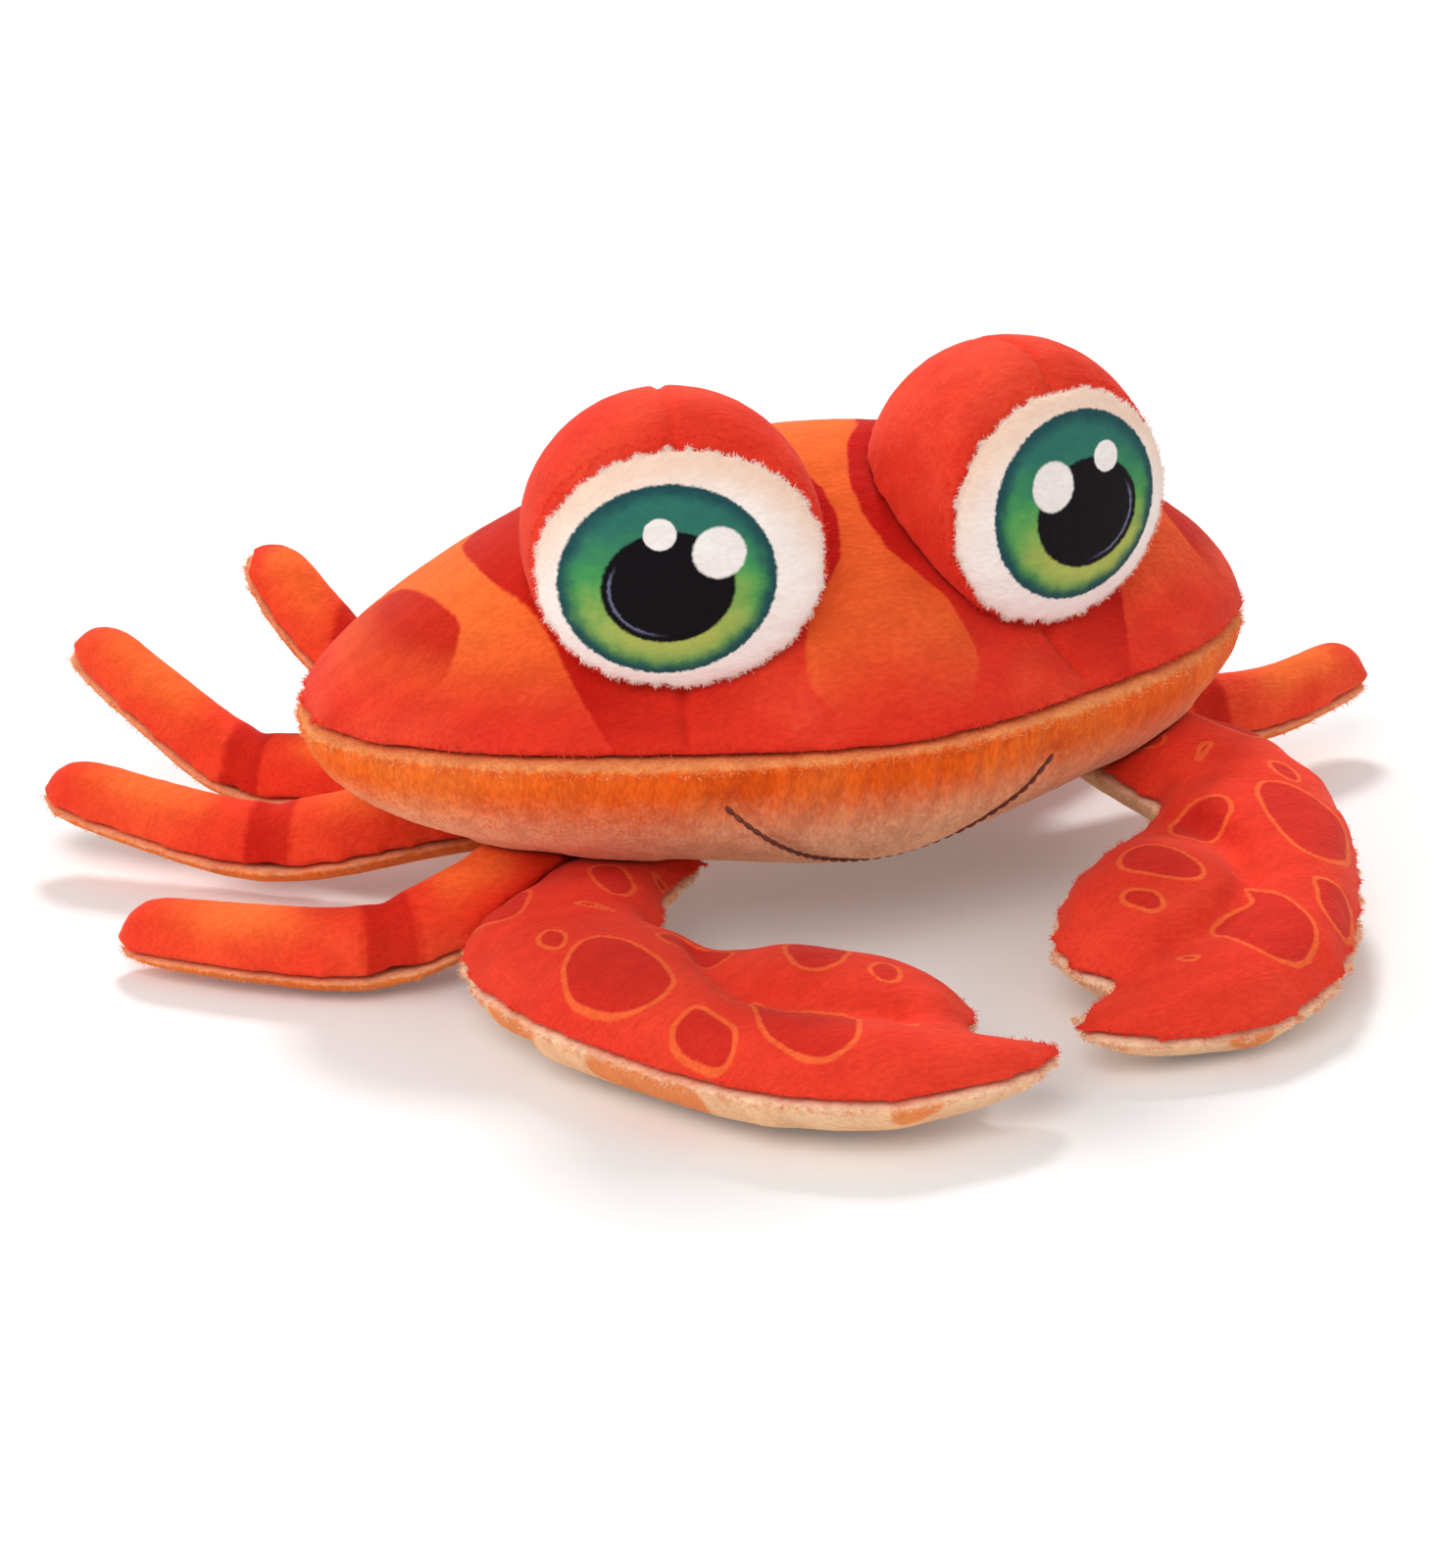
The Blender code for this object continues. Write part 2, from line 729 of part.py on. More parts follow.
def main():
    for obj in list(bpy.data.objects):
        bpy.data.objects.remove(obj, do_unlink=True)
    red = fabric("red_cloth", (0.78, 0.045, 0.018))
    belly = fabric("belly_cloth", (0.87, 0.3, 0.08))
    orange = fabric("orange_cloth", (0.86, 0.2, 0.012))
    cream = fabric("claw_cloth", (0.9, 0.42, 0.17))
    white = fabric("eye_cloth", (0.9, 0.87, 0.82))
    thread = fabric("mouth_cloth", (0.1, 0.025, 0.012))
    dome_cutter, belly_cutter = cutters = make_body(red, belly)
    make_mouth(thread)
    net = claw_net()
    for side, name in ((-1, "right"), (1, "left")):
        make_eye(f"eye_{name}", side, (dome_cutter,), red, white)
        place = claw_place(side, net)
        claw_half(f"claw_{name}_top", net, 1, place, (belly_cutter,), red)
        claw_half(f"claw_{name}_under", net, -1, place, (belly_cutter,), cream)
        claw_cutter = claw_clearance(f"claw_{name}_clearance", net, place)
        legs = RIGHT_LEGS if side < 0 else LEFT_LEGS
        for number, (root, points) in enumerate(legs, 1):
            clear_of = (*cutters, claw_cutter) if number == 1 else cutters
            make_leg(f"leg_{name}_{number}", root, points, clear_of, red, orange)
    bpy.context.view_layer.update()
    place_on_floor()


main()
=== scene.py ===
"""Dressed model of a plush crab: stuffed pieces of short-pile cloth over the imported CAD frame.

Sizes are in metres, except where a name ends in _mm or a text says millimetres. The crab faces
-Y, its right side is at -X, and it stands on the floor at Z 0.
"""

from __future__ import annotations

import logging
import math
from dataclasses import dataclass, field
from enum import Enum

import bmesh
import bpy
import numpy as np
from mathutils import Euler, Matrix, Vector, noise
from mathutils.bvhtree import BVHTree


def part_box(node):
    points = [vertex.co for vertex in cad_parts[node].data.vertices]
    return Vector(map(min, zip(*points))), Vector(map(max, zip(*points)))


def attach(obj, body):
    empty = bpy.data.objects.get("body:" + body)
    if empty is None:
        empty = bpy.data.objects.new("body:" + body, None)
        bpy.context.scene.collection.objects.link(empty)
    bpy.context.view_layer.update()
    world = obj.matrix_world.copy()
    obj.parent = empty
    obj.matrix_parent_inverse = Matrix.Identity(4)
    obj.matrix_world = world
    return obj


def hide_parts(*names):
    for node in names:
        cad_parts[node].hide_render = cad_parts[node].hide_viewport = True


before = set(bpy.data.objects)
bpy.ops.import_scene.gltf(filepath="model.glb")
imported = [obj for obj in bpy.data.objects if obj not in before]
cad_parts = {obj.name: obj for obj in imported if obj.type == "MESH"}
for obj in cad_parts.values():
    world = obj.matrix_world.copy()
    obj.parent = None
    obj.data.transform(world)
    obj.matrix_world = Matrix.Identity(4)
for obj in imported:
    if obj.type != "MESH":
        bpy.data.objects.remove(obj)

LOG = logging.getLogger("crab")
MM = 0.001
Colour = tuple[float, float, float]
Point = tuple[float, float]
Place = tuple[float, float, float]
Outline = tuple[Point, ...]
Path = tuple[Place, ...]
Spot = tuple[float, float, float, float]


class Side(Enum):
    """The two sides of the crab, by the sign of X."""

    RIGHT = -1
    LEFT = 1

    @property
    def word(self) -> str:
        """The side's name as the CAD nodes have it."""
        return self.name.lower()


# Finishes


class Recipe:
    """A material's node tree, with short calls for the nodes that the finishes share."""

    def __init__(self, name: str) -> None:
        """Starts a material of this name with a plain shader.

        Args:
            name: The material's name.
        """
        self.material = bpy.data.materials.new(name)
        self.material.use_nodes = True
        self.nodes = self.material.node_tree.nodes
        self.links = self.material.node_tree.links
        self.shader = self.nodes["Principled BSDF"]
        self.place = self.nodes.new("ShaderNodeTexCoord").outputs["Object"]

    def set(self, socket: bpy.types.NodeSocket, value: object) -> None:
        """Gives a socket a number, a colour, or a link from another socket.

        Args:
            socket: The socket that is set.
            value: The number, colour or other socket.
        """
        if isinstance(value, bpy.types.NodeSocket):
            self.links.new(value, socket)
        elif isinstance(value, tuple) and len(value) == 3 and socket.type == "RGBA":
            socket.default_value = (*value, 1.0)
        else:
            socket.default_value = value

    def maths(self, operation: str, *values: object) -> bpy.types.NodeSocket:
        """The result of one Math node on these values.

        Args:
            operation: The node's operation.
            values: Its numbers or sockets.

        Returns:
            The socket of its result.
        """
        node = self.nodes.new("ShaderNodeMath")
        node.operation = operation
        for socket, value in zip(node.inputs, values):
            self.set(socket, value)
        return node.outputs[0]

    def plus(self, first: object, second: object) -> bpy.types.NodeSocket:
        """The sum of two values."""
        return self.maths("ADD", first, second)

    def minus(self, first: object, second: object) -> bpy.types.NodeSocket:
        """The first value less the second."""
        return self.maths("SUBTRACT", first, second)

    def times(self, first: object, second: object) -> bpy.types.NodeSocket:
        """The product of two values."""
        return self.maths("MULTIPLY", first, second)

    def between(self, value: object, low: float, high: float) -> bpy.types.NodeSocket:
        """0 below low, 1 above high, with a soft change between them.

        Args:
            value: The number or socket to look at.
            low: Where the result is 0.
            high: Where it is 1; less than low turns it round.

        Returns:
            The socket of the share.
        """
        node = self.nodes.new("ShaderNodeMapRange")
        node.interpolation_type = "SMOOTHSTEP"
        flip = low > high
        self.set(node.inputs["Value"], value)
        self.set(node.inputs["From Min"], min(low, high))
        self.set(node.inputs["From Max"], max(low, high))
        self.set(node.inputs["To Min"], 1.0 if flip else 0.0)
        self.set(node.inputs["To Max"], 0.0 if flip else 1.0)
        return node.outputs["Result"]

    def mixed(self, share: object, first: object, second: object, way: str = "MIX") -> bpy.types.NodeSocket:
        """Two colours mixed by this share of the second.

        Args:
            share: The share of the second colour.
            first: The colour at share 0.
            second: The colour at share 1.
            way: How they are blended.

        Returns:
            The socket of the mixed colour.
        """
        node = self.nodes.new("ShaderNodeMix")
        node.data_type = "RGBA"
        node.blend_type = way
        self.set(node.inputs[0], share)
        self.set(node.inputs[6], first)
        self.set(node.inputs[7], second)
        return node.outputs[2]

    def grain(
        self, size: float, detail: float = 2.0, stretch: Colour = (1.0, 1.0, 1.0), seed: float = 0.0
    ) -> bpy.types.NodeSocket:
        """Noise whose blotches are about this size, longer along an axis where stretch is under 1.

        Args:
            size: The size in metres.
            detail: How many finer layers it has.
            stretch: The scale along each axis.
            seed: Which part of the noise is used.

        Returns:
            The socket of the noise, from 0 to 1.
        """
        mapping = self.nodes.new("ShaderNodeMapping")
        self.set(mapping.inputs["Vector"], self.place)
        mapping.inputs["Scale"].default_value = stretch
        mapping.inputs["Location"].default_value = (seed, seed * 0.7, seed * 1.3)
        node = self.nodes.new("ShaderNodeTexNoise")
        self.set(node.inputs["Vector"], mapping.outputs[0])
        node.inputs["Scale"].default_value = 1.0 / size
        node.inputs["Detail"].default_value = detail
        return node.outputs[0]

    def fix(self, values: dict[str, object]) -> None:
        """Sets the shader's own sockets that are the same all over the surface."""
        for name, value in values.items():
            self.set(self.shader.inputs[name], value)

    def attribute(self, name: str) -> bpy.types.NodeSocket:
        """A number that the piece carries at each of its points.

        Args:
            name: The attribute's name.

        Returns:
            The socket of the number.
        """
        node = self.nodes.new("ShaderNodeAttribute")
        node.attribute_name = name
        return node.outputs["Fac"]

    def bump(self, height: bpy.types.NodeSocket, distance: float, strength: float) -> None:
        """Gives the shader a relief of this height.

        Args:
            height: The socket of the height, from 0 to 1.
            distance: The height of 1, in metres.
            strength: How much of it shows.
        """
        node = self.nodes.new("ShaderNodeBump")
        node.inputs["Distance"].default_value = distance
        node.inputs["Strength"].default_value = strength
        self.set(node.inputs["Height"], height)
        self.set(self.shader.inputs["Normal"], node.outputs[0])


@dataclass(frozen=True)
class Print:
    """A colour printed where an attribute, in millimetres, runs from start to end; the glow also carries
    painted light and shade.
    """

    attribute: str
    colour: Colour
    start: float
    end: float
    wobble: float = 0.0
    strength: float = 1.0
    fade: str = ""


CUT_FROM: dict[str, bpy.types.Material] = {}


@dataclass(frozen=True)
class PlushCloth:
    """Short-pile cloth: a ground colour, prints over it, and a brushed nap that catches light."""

    name: str
    ground: Colour
    blotch: Colour
    prints: tuple[Print, ...] = ()
    nap: float = 0.16
    streak: Colour = (0.35, 1.0, 0.8)
    sheen: float = 0.1
    sheen_tint: Colour = (1.0, 0.62, 0.5)
    sheen_roughness: float = 0.45
    specular: float = 0.08
    roughness: float = 0.88
    relief: float = 0.7 * MM
    relief_strength: float = 0.55

    def colours(self, recipe: Recipe) -> bpy.types.NodeSocket:
        """The ground with its soft blotches and all prints on it, including the painted light of the glow.

        Args:
            recipe: The material that is being made.

        Returns:
            The socket that carries the printed colour.
        """
        blotches = recipe.between(recipe.grain(26 * MM, 3.0), 0.4, 0.68)
        colour = recipe.mixed(blotches, self.ground, self.blotch)
        for mark in self.prints:
            value = recipe.attribute(mark.attribute)
            if mark.wobble:
                shift = recipe.minus(recipe.grain(2.2 * MM, 3.0, seed=2.0), 0.5)
                value = recipe.plus(value, recipe.times(shift, 2 * mark.wobble))
            share = recipe.between(value, mark.start, mark.end)
            if mark.fade:
                share = recipe.times(share, recipe.attribute(mark.fade))
            if mark.strength < 1:
                share = recipe.times(share, mark.strength)
            colour = recipe.mixed(share, colour, mark.colour)
        return colour

    def finish(self, recipe: Recipe, colour: bpy.types.NodeSocket) -> bpy.types.Material:
        """Lays the brushed nap over the printed colour.

        Args:
            recipe: The material that is being made.
            colour: The printed colour.

        Returns:
            The finished material.
        """
        fine = recipe.grain(0.75 * MM, 2.0, self.streak, 5.0)
        brushed = recipe.grain(5.0 * MM, 3.0, self.streak, 9.0)
        lying = recipe.plus(recipe.times(fine, 0.55), recipe.times(brushed, 0.45))
        shade = recipe.between(lying, 0.36, 0.66)
        darker = recipe.mixed(1.0, colour, (1 - self.nap, 1 - 1.5 * self.nap, 1 - 1.5 * self.nap), "MULTIPLY")
        colour = recipe.mixed(shade, darker, colour)
        recipe.set(recipe.shader.inputs["Base Color"], colour)
        recipe.fix({"Roughness": self.roughness, "Specular IOR Level": self.specular})
        recipe.fix({"Sheen Weight": self.sheen, "Sheen Roughness": self.sheen_roughness})
        recipe.fix({"Sheen Tint": self.sheen_tint})
        tall = recipe.plus(recipe.times(fine, 0.6), recipe.times(brushed, 1.4))
        recipe.bump(tall, self.relief, self.relief_strength)
        recipe.material.diffuse_color = (*self.ground, 1.0)
        return recipe.material

    def material(self) -> bpy.types.Material:
        """The cloth as a material, made once for all the pieces that are cut from it.

        Returns:
            The finished material.
        """
        if self.name not in CUT_FROM:
            recipe = Recipe(self.name)
            CUT_FROM[self.name] = self.finish(recipe, self.colours(recipe))
        return CUT_FROM[self.name]


@dataclass(frozen=True)
class EyeCloth(PlushCloth):
    """White cloth with a printed iris and pupil, drawn on the piece's own map of the eye."""

    iris: Spot = (0.0, 0.0, 25.0, 22.0)
    pupil: Spot = (0.0, -1.5, 15.5, 12.8)
    large_light: Spot = (-8.0, 4.0, 6.0, 5.8)
    small_light: Spot = (7.0, 9.0, 3.7, 3.6)
    rim: Colour = (0.016, 0.075, 0.085)
    upper: Colour = (0.03, 0.17, 0.13)
    middle: Colour = (0.07, 0.36, 0.09)
    lower: Colour = (0.42, 0.5, 0.11)
    black: Colour = (0.006, 0.005, 0.007)
    light: Colour = (0.9, 0.87, 0.84)
    peach: Colour = (0.93, 0.62, 0.44)
    line: Colour = (0.2, 0.22, 0.36)
    white_edge: Spot = (0.0, -6.0, 33.0, 29.0)
    pile_edge: float = 0.05
    patchiness: float = 1.1
    outwards: int = 1
    map_name: str = "eye_map"
    map_span_mm: float = 100.0

    def offset(self, recipe: Recipe, spot: Spot, edge: object = 0.0) -> bpy.types.NodeSocket:
        """How far a point is from a spot's edge: 0 at its centre and 1 on its edge.

        Args:
            recipe: The material that is being made.
            spot: The centre and the half width and height, in millimetres.
            edge: A small unevenness that is added.

        Returns:
            The socket that carries the share.
        """
        across = recipe.maths("DIVIDE", recipe.minus(recipe.across, spot[0]), spot[2])
        along = recipe.maths("DIVIDE", recipe.minus(recipe.along, spot[1]), spot[3])
        squared = recipe.plus(recipe.times(across, across), recipe.times(along, along))
        return recipe.plus(recipe.maths("SQRT", squared), edge)

    def material(self) -> bpy.types.Material:
        """The printed eye as a material.

        Returns:
            The finished material.
        """
        recipe = Recipe(self.name)
        own_map = recipe.nodes.new("ShaderNodeUVMap")
        own_map.uv_map = self.map_name
        parts = recipe.nodes.new("ShaderNodeSeparateXYZ")
        recipe.set(parts.inputs[0], own_map.outputs[0])
        recipe.across = recipe.times(recipe.minus(parts.outputs[0], 0.5), self.map_span_mm)
        recipe.along = recipe.times(recipe.minus(parts.outputs[1], 0.5), self.map_span_mm)
        pile = recipe.times(recipe.minus(recipe.grain(1.0 * MM, 2.0, seed=3.0), 0.5), self.pile_edge)
        patchy = recipe.times(recipe.minus(recipe.grain(5.0 * MM, 3.0, seed=7.0), 0.5), self.patchiness)

        # The white cloth is warm towards the lid
        spread = self.offset(recipe, self.white_edge)
        warm = recipe.times(recipe.between(spread, 0.75, 1.08), recipe.between(recipe.along, -22.0, 20.0))
        colour = recipe.mixed(recipe.times(warm, 0.75), self.ground, self.peach)
        pink = recipe.times(recipe.between(spread, 0.8, 1.1), recipe.between(recipe.along, -8.0, -30.0))
        colour = recipe.mixed(recipe.times(pink, 0.55), colour, self.blotch)

        # Iris: dark at the rim and the top, through green, to yellow-green low down by the pupil
        reach = self.offset(recipe, self.iris, pile)
        height = recipe.maths("DIVIDE", recipe.minus(recipe.along, self.iris[1]), self.iris[3])
        lifted = recipe.plus(height, recipe.times(patchy, 0.5))
        green = recipe.mixed(recipe.between(lifted, 0.62, -0.15), self.upper, self.middle)
        inner = self.offset(recipe, self.pupil, recipe.times(patchy, 0.3))
        low = recipe.times(recipe.between(lifted, 0.15, -0.6), recipe.between(inner, 1.6, 1.05))
        green = recipe.mixed(low, green, self.lower)
        outer = recipe.between(recipe.plus(reach, recipe.times(patchy, 0.12)), 0.8, 0.98)
        green = recipe.mixed(outer, green, self.rim)
        colour = recipe.mixed(recipe.between(reach, 1.015, 0.985), colour, green)

        # Pupil, with a thin pale line inside its outer edge, and two lights over it
        edge = self.offset(recipe, self.pupil, recipe.times(pile, 1.2))
        colour = recipe.mixed(recipe.between(edge, 1.03, 0.97), colour, self.black)
        line = recipe.times(recipe.between(edge, 0.84, 0.87), recipe.between(edge, 0.92, 0.88))
        outer = recipe.times(recipe.minus(recipe.across, self.pupil[0]), float(self.outwards))
        line = recipe.times(line, recipe.between(outer, -1.0, 9.0))
        line = recipe.times(line, recipe.between(recipe.along, self.pupil[1] + 6.0, self.pupil[1] + 1.0))
        colour = recipe.mixed(recipe.times(line, 0.7), colour, self.line)
        for spot in (self.large_light, self.small_light):
            near = self.offset(recipe, spot, recipe.times(pile, 2.0))
            colour = recipe.mixed(recipe.between(near, 1.06, 0.92), colour, self.light)
        return self.finish(recipe, colour)


RED: Colour = (0.80, 0.038, 0.018)
RED_BLOTCH: Colour = (0.86, 0.066, 0.028)
DARK_RED: Colour = (0.55, 0.007, 0.005)
ORANGE: Colour = (0.93, 0.17, 0.03)
BELLY_ORANGE: Colour = (0.93, 0.15, 0.012)
CREAM: Colour = (0.97, 0.62, 0.36)
PALE_NAP: Colour = (0.93, 0.62, 0.42)
LIP_NAP: Colour = (0.94, 0.42, 0.16)

BODY_CLOTH = PlushCloth(
    "printed_body_plush",
    RED,
    RED_BLOTCH,
    (
        # The glow is the printed orange field with painted light: lighter higher up, with painted shade at the
        # crab's left front
        Print("glow", ORANGE, 0.0, 1.0),
        Print("eye_patch", DARK_RED, 0.5, -0.5, 0.6, 0.95, "eye_patch_fade"),
        Print("side_patch", DARK_RED, 0.6, -0.6, 0.6, 0.9, "side_patch_fade"),
        Print("stripe", ORANGE, 0.5, -0.5, 0.6, 1.0, "stripe_fade"),
        Print("dart", (0.3, 0.01, 0.008), 0.9, 0.2, 0.2, 0.6),
    ),
)
LID_CLOTH = PlushCloth("red_lid_plush", (0.82, 0.042, 0.02), (0.87, 0.07, 0.032))
BELLY_CLOTH = PlushCloth(
    "belly_plush",
    BELLY_ORANGE,
    (0.94, 0.21, 0.03),
    (
        Print("drop", CREAM, 7.0, 26.0, 4.0, 0.9),
        Print("seam", LIP_NAP, 2.6, 1.2, 1.4, 0.7),
    ),
    nap=0.24,
    streak=(0.9, 0.9, 0.3),
)
LEG_CLOTH = PlushCloth(
    "printed_leg_plush",
    (0.88, 0.052, 0.02), (0.92, 0.08, 0.028),
    (
        # The glow is printed orange along each segment with a painted highlight along the top of the leg
        Print("glow", (1.0, 0.17, 0.035), 0.0, 1.0, 0.1),
        Print("band", DARK_RED, 0.35, 0.65, 0.12, 0.75),
    ),
)
LEG_UNDER_CLOTH = PlushCloth(
    "orange_leg_plush", (0.86, 0.2, 0.03), (0.9, 0.27, 0.06), (Print("seam", PALE_NAP, 1.9, 1.0, 0.8, 0.4),)
)
CLAW_CLOTH = PlushCloth(
    "ringed_claw_plush",
    (0.84, 0.046, 0.022), (0.88, 0.06, 0.028),
    (
        Print("ring", (0.66, 0.024, 0.015), 0.3, -0.3, 0.25, 0.85),
        Print("line", (0.95, 0.16, 0.04), 0.85, 0.35, 0.3, 0.8),
    ),
)
CLAW_UNDER_CLOTH = PlushCloth(
    "pale_claw_plush",
    (0.97, 0.6, 0.34), (0.98, 0.68, 0.42),
    (
        Print("blotch", (0.9, 0.24, 0.045), 0.8, -0.8, 0.5, 0.85),
        Print("seam", (0.95, 0.7, 0.5), 2.2, 1.1, 1.2, 0.6),
    ),
)


@dataclass(frozen=True)
class MouthThread:
    """Matt brown embroidery thread."""

    name: str = "brown_thread"
    colour: Colour = (0.085, 0.016, 0.008)
    worn: Colour = (0.2, 0.045, 0.022)

    def material(self) -> bpy.types.Material:
        """The thread as a material, with the twist of its fibres.

        Returns:
            The finished material.
        """
        recipe = Recipe(self.name)
        fibres = recipe.grain(0.35 * MM, 2.0, (0.3, 1.0, 1.0))
        recipe.set(recipe.shader.inputs["Base Color"], recipe.mixed(fibres, self.colour, self.worn))
        recipe.fix({"Roughness": 0.7})
        recipe.bump(fibres, 0.2 * MM, 0.6)
        return recipe.material


# Mesh helpers


def points_of(obj: bpy.types.Object) -> np.ndarray:
    """The points of a mesh object, one row each.

    Args:
        obj: The object.

    Returns:
        An array of three columns, in metres.
    """
    found = np.empty(len(obj.data.vertices) * 3)
    obj.data.vertices.foreach_get("co", found)
    return found.reshape(-1, 3)


def move_points(obj: bpy.types.Object, points: np.ndarray) -> None:
    """Puts the points of a mesh object at these places."""
    obj.data.vertices.foreach_set("co", np.ascontiguousarray(points, float).ravel())
    obj.data.update()


def normals_of(obj: bpy.types.Object) -> np.ndarray:
    """The direction out of the cloth at each point.

    Args:
        obj: The cloth's object.

    Returns:
        An array with one direction a row.
    """
    found = np.empty(len(obj.data.vertices) * 3)
    obj.data.vertex_normals.foreach_get("vector", found)
    return found.reshape(-1, 3)


def polygons_of(obj: bpy.types.Object) -> list[tuple[int, ...]]:
    """The faces of a mesh object, by the numbers of their points."""
    return [tuple(polygon.vertices) for polygon in obj.data.polygons]


def surface_of(obj: bpy.types.Object) -> BVHTree:
    """The surface of a mesh object, to measure distances from."""
    return BVHTree.FromPolygons(points_of(obj).tolist(), polygons_of(obj))


def new_object(name: str, rows: np.ndarray, faces: list[tuple[int, ...]]) -> bpy.types.Object:
    """Adds a mesh object of this name from its points and faces.

    Args:
        name: The object's name.
        rows: Its points, one a row.
        faces: Its faces, by the numbers of their points.

    Returns:
        The new object.
    """
    mesh = bpy.data.meshes.new(name)
    mesh.from_pydata(rows.tolist(), [], faces)
    obj = bpy.data.objects.new(name, mesh)
    bpy.context.scene.collection.objects.link(obj)
    return obj


def store(obj: bpy.types.Object, name: str, values: np.ndarray) -> None:
    """Keeps a number at each point of the mesh, for its material to read."""
    attribute = obj.data.attributes.new(name, "FLOAT", "POINT")
    attribute.data.foreach_set("value", np.ascontiguousarray(values, float))


def to_path(points: np.ndarray, path: np.ndarray) -> np.ndarray:
    """Distance from each point to a path, in two or three dimensions.

    Args:
        points: The points, one a row.
        path: The path's points, one a row.

    Returns:
        One distance for each point.
    """
    best = np.full(len(points), 1e9)
    for a, b in zip(path, path[1:]):
        line = b - a
        share = np.clip((points - a) @ line / max(line @ line, 1e-12), 0, 1)
        best = np.minimum(best, np.linalg.norm(points - a - share[:, None] * line, axis=1))
    return best


def to_outline(points: np.ndarray, outline: np.ndarray) -> np.ndarray:
    """Distance from each point to a closed outline, less than 0 inside it.

    Args:
        points: The points, one a row.
        outline: The outline's points, one a row.

    Returns:
        One distance for each point.
    """
    closed = np.vstack([outline, outline[:1]])
    inside = np.zeros(len(points), bool)
    for a, b in zip(closed, closed[1:]):
        if a[1] != b[1]:
            crosses = (a[1] > points[:, 1]) != (b[1] > points[:, 1])
            inside ^= crosses & (points[:, 0] < a[0] + (b[0] - a[0]) * (points[:, 1] - a[1]) / (b[1] - a[1]))
    return np.where(inside, -1, 1) * to_path(points, closed)


def smooth_outline(outline: Outline, steps: int = 5, closed: bool = True) -> np.ndarray:
    """A smooth curve through these points.

    Args:
        outline: The points.
        steps: How many points the curve has for each of them.
        closed: Whether it goes back to its first point.

    Returns:
        The curve's points, one a row.
    """
    known = np.array(outline, float)
    count, found = len(known), []
    for i in range(count if closed else count - 1):
        if closed:
            a, b, c, d = (known[(i + k) % count] for k in (-1, 0, 1, 2))
        else:
            a, b, c, d = known[max(i - 1, 0)], known[i], known[i + 1], known[min(i + 2, count - 1)]
        for t in np.linspace(0, 1, steps, endpoint=False):
            bend = (2 * a - 5 * b + 4 * c - d) * t**2 + (3 * b - a - 3 * c + d) * t**3
            found.append(0.5 * (2 * b + (c - a) * t + bend))
    if not closed:
        found.append(known[-1])
    return np.array(found)


def eased(values: np.ndarray, low: float, high: float) -> np.ndarray:
    """0 at low, 1 at high, with a soft change between them."""
    t = np.clip((values - low) / (high - low), 0, 1)
    return t * t * (3 - 2 * t)


def unevenness(points: np.ndarray, size: float, seed: float = 0.0) -> np.ndarray:
    """Smooth noise at each point, about -1 to 1, whose bumps are this size."""
    shift = Vector((seed, seed * 1.7, -seed))
    return np.array([noise.noise(Vector(p) / size + shift) for p in points])


# Stuffed cloth


@dataclass(frozen=True)
class Filling:
    """How the filling swells the cloth."""

    pressure: float = 4.0
    stretch: float = 8.0
    shear: float = 4.0
    bend: float = 0.4
    weight: float = 0.3
    quality: int = 4
    frames: int = 20


FILLING = Filling()


